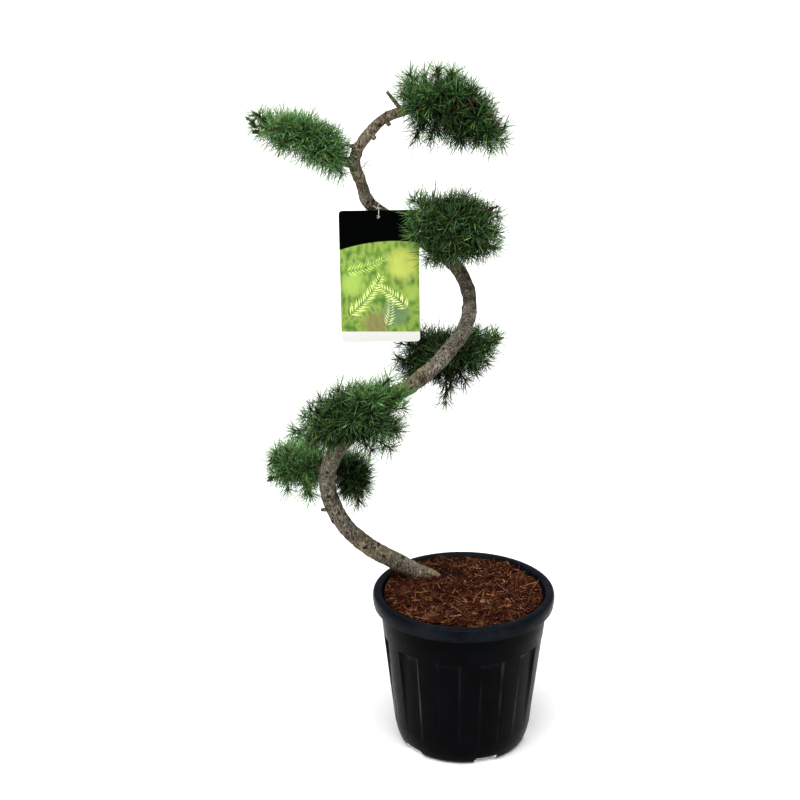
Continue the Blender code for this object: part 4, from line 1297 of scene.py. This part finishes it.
def build_card():
    """The card's print, and its sprigs as thin leaves that lie on the card."""
    card = frame["nodes"]["tag_card"]
    card.data.materials.clear()
    card.data.materials.append(card_material())
    draw = np.random.default_rng(SPRIG_SEED)
    shapes = []
    for row in SPRIGS:
        shapes += sprig(*row, draw)
    points, faces, tints = [], [], []
    low, high = SPRIG_FLOOR * CARD_HEIGHT, SPRIG_CEILING * CARD_HEIGHT
    edge = CARD_WIDTH / 2 - CARD_MARGIN
    for level, (shape, tint) in enumerate(shapes):
        corners = np.array(shape) * MM
        inside = np.abs(corners[:, 0]).max() < edge
        if not inside or corners[:, 1].min() < low or corners[:, 1].max() > high:
            continue
        first = len(points)
        for proud in ((0.05 + 0.0006 * level) * MM, 0.01 * MM):
            for x, z in corners:
                points.append(card_point(x / CARD_WIDTH, z / CARD_HEIGHT, proud))
                tints.append(np.clip(tint, 0, 1))
        faces.append([first, first + 3, first + 2, first + 1])
        faces.append([first + 4, first + 5, first + 6, first + 7])
        for a, b in ((0, 1), (1, 2), (2, 3), (3, 0)):
            faces.append([first + a, first + b, first + b + 4, first + a + 4])
    ink = grained_material("card_ink")
    mesh = add_piece("card_sprigs", (points, faces), np.array(tints), ink, "tag_print").data
    mesh.shade_flat()
    outward = bmesh.new()
    outward.from_mesh(mesh)
    bmesh.ops.recalc_face_normals(outward, faces=outward.faces)
    outward.to_mesh(mesh)
    outward.free()


def build_tie():
    """The thin cord from the card's hole round the stem and back, with two cut ends."""
    centre, _, front, up = stem_section(
        trunk_line(2), Vector((0, -1, 0)), lambda point: (point - TIE_TURN).length
    )
    up = up.normalized()
    if up.z < 0:
        up = -up
    lift = CARD_HEIGHT / 2 - CARD_HOLE_DROP
    hole = CARD_CENTRE + Vector((-math.sin(CARD_TILT) * lift, 0, math.cos(CARD_TILT) * lift))
    loop = [hole + mm(offset) for offset in ((0, -2.4, -0.6), (0, 0, -0.8), (0, 2.6, -0.6))]
    for degrees in TIE_LOOP_ANGLES:
        angle = math.radians(degrees)
        loop.append(centre + TIE_LOOP_RADIUS * (math.cos(angle) * front + math.sin(angle) * up))
    over_edge = CARD_HOLE_DROP / MM + 3.4
    loop += [hole + mm(offset) for offset in ((0, 0.4, over_edge), (0, -2.6, over_edge - 5))]
    knot = loop[-3]
    points = [(place, TIE_RADIUS) for place in loop]
    lines = [smooth_line(points + [points[0]], 10)]
    droop = Vector((0, 0, -TIE_END_DROOP))
    for way in TIE_END_WAYS:
        reach = mm(Vector(way) * TIE_END_LENGTH)
        lines.append([(knot + reach * t + droop * t * t, TIE_RADIUS) for t in TIE_END_SHARES])
    turns = []
    for angle in np.linspace(0, 11, 34):
        way = Vector((math.cos(angle), 0.6 * math.sin(angle), 0.5 * math.sin(angle + 1)))
        turns.append((knot + way * 1.3 * MM, TIE_RADIUS))
    lines.append(turns)
    add_piece("cord_tie", tubes(lines, TIE_SIDES), WHITE, tie_material(), "tie_cord", "tag_tie")


def build_stage():
    """A wide, flat, pale floor."""
    corners = [(FLOOR_REACH * x, FLOOR_REACH * y, 0) for x, y in ((-1, -1), (1, -1), (1, 1), (-1, 1))]
    mesh = new_mesh("studio_floor", corners, [(0, 1, 2, 3)])
    floor = new_object("studio_floor", mesh)
    n = Nodes("studio_white", 0.9)
    n.shader["Base Color"].default_value = FLOOR_COLOUR
    mesh.materials.append(n.material)
    floor.location.z = -FLOOR_DROP


def add_sun(name, aim, power, spread):
    """A soft sun that shines along this direction."""
    data = bpy.data.lights.new(name, "SUN")
    data.energy = power
    data.angle = math.radians(spread)
    turn = Vector(aim).to_track_quat("-Z", "Y").to_euler()
    new_object(name, data).rotation_euler = turn


def build_lights():
    world = bpy.data.worlds.new("studio_air")
    world.use_nodes = True
    background = world.node_tree.nodes["Background"]
    background.inputs["Color"].default_value = AIR_COLOUR
    background.inputs["Strength"].default_value = AIR_STRENGTH
    bpy.context.scene.world = world
    for sun in SUNS:
        add_sun(*sun)


def build_camera():
    data = bpy.data.cameras.new("camera")
    data.sensor_width = SENSOR
    data.lens = CAMERA_LENS
    data.clip_end = CAMERA_REACH
    camera = new_object("camera", data)
    camera.location = CAMERA_PLACE
    camera.rotation_euler = (math.pi / 2 - CAMERA_DOWN, 0, 0)
    bpy.context.scene.camera = camera


TRUNK_LINE = trunk_line(BARK_STEPS)
KNOT_SPOTS = knot_spots()
build_camera()
build_pot()
build_soil()
build_trunk()
NEEDLE_FINISH = grained_material("larch_needles")
TWIG_FINISH = grained_material("twig_bark")
for spray_name, spray_form in SPRAYS.items():
    spray_draw = np.random.default_rng(spray_form.seed)
    spray_stem, spray_tips = spray_shoots(spray_form)
    tufts = spray_spurs(spray_form, spray_tips, spray_draw)
    build_needles(spray_name, spray_form, *tufts, spray_draw)
    build_twigs(spray_name, spray_form, spray_stem, spray_tips, *tufts, spray_draw)
build_card()
build_tie()
build_stage()
build_lights()
bpy.context.scene.view_settings.view_transform = "Standard"
bpy.context.scene.view_settings.look = "Medium High Contrast"
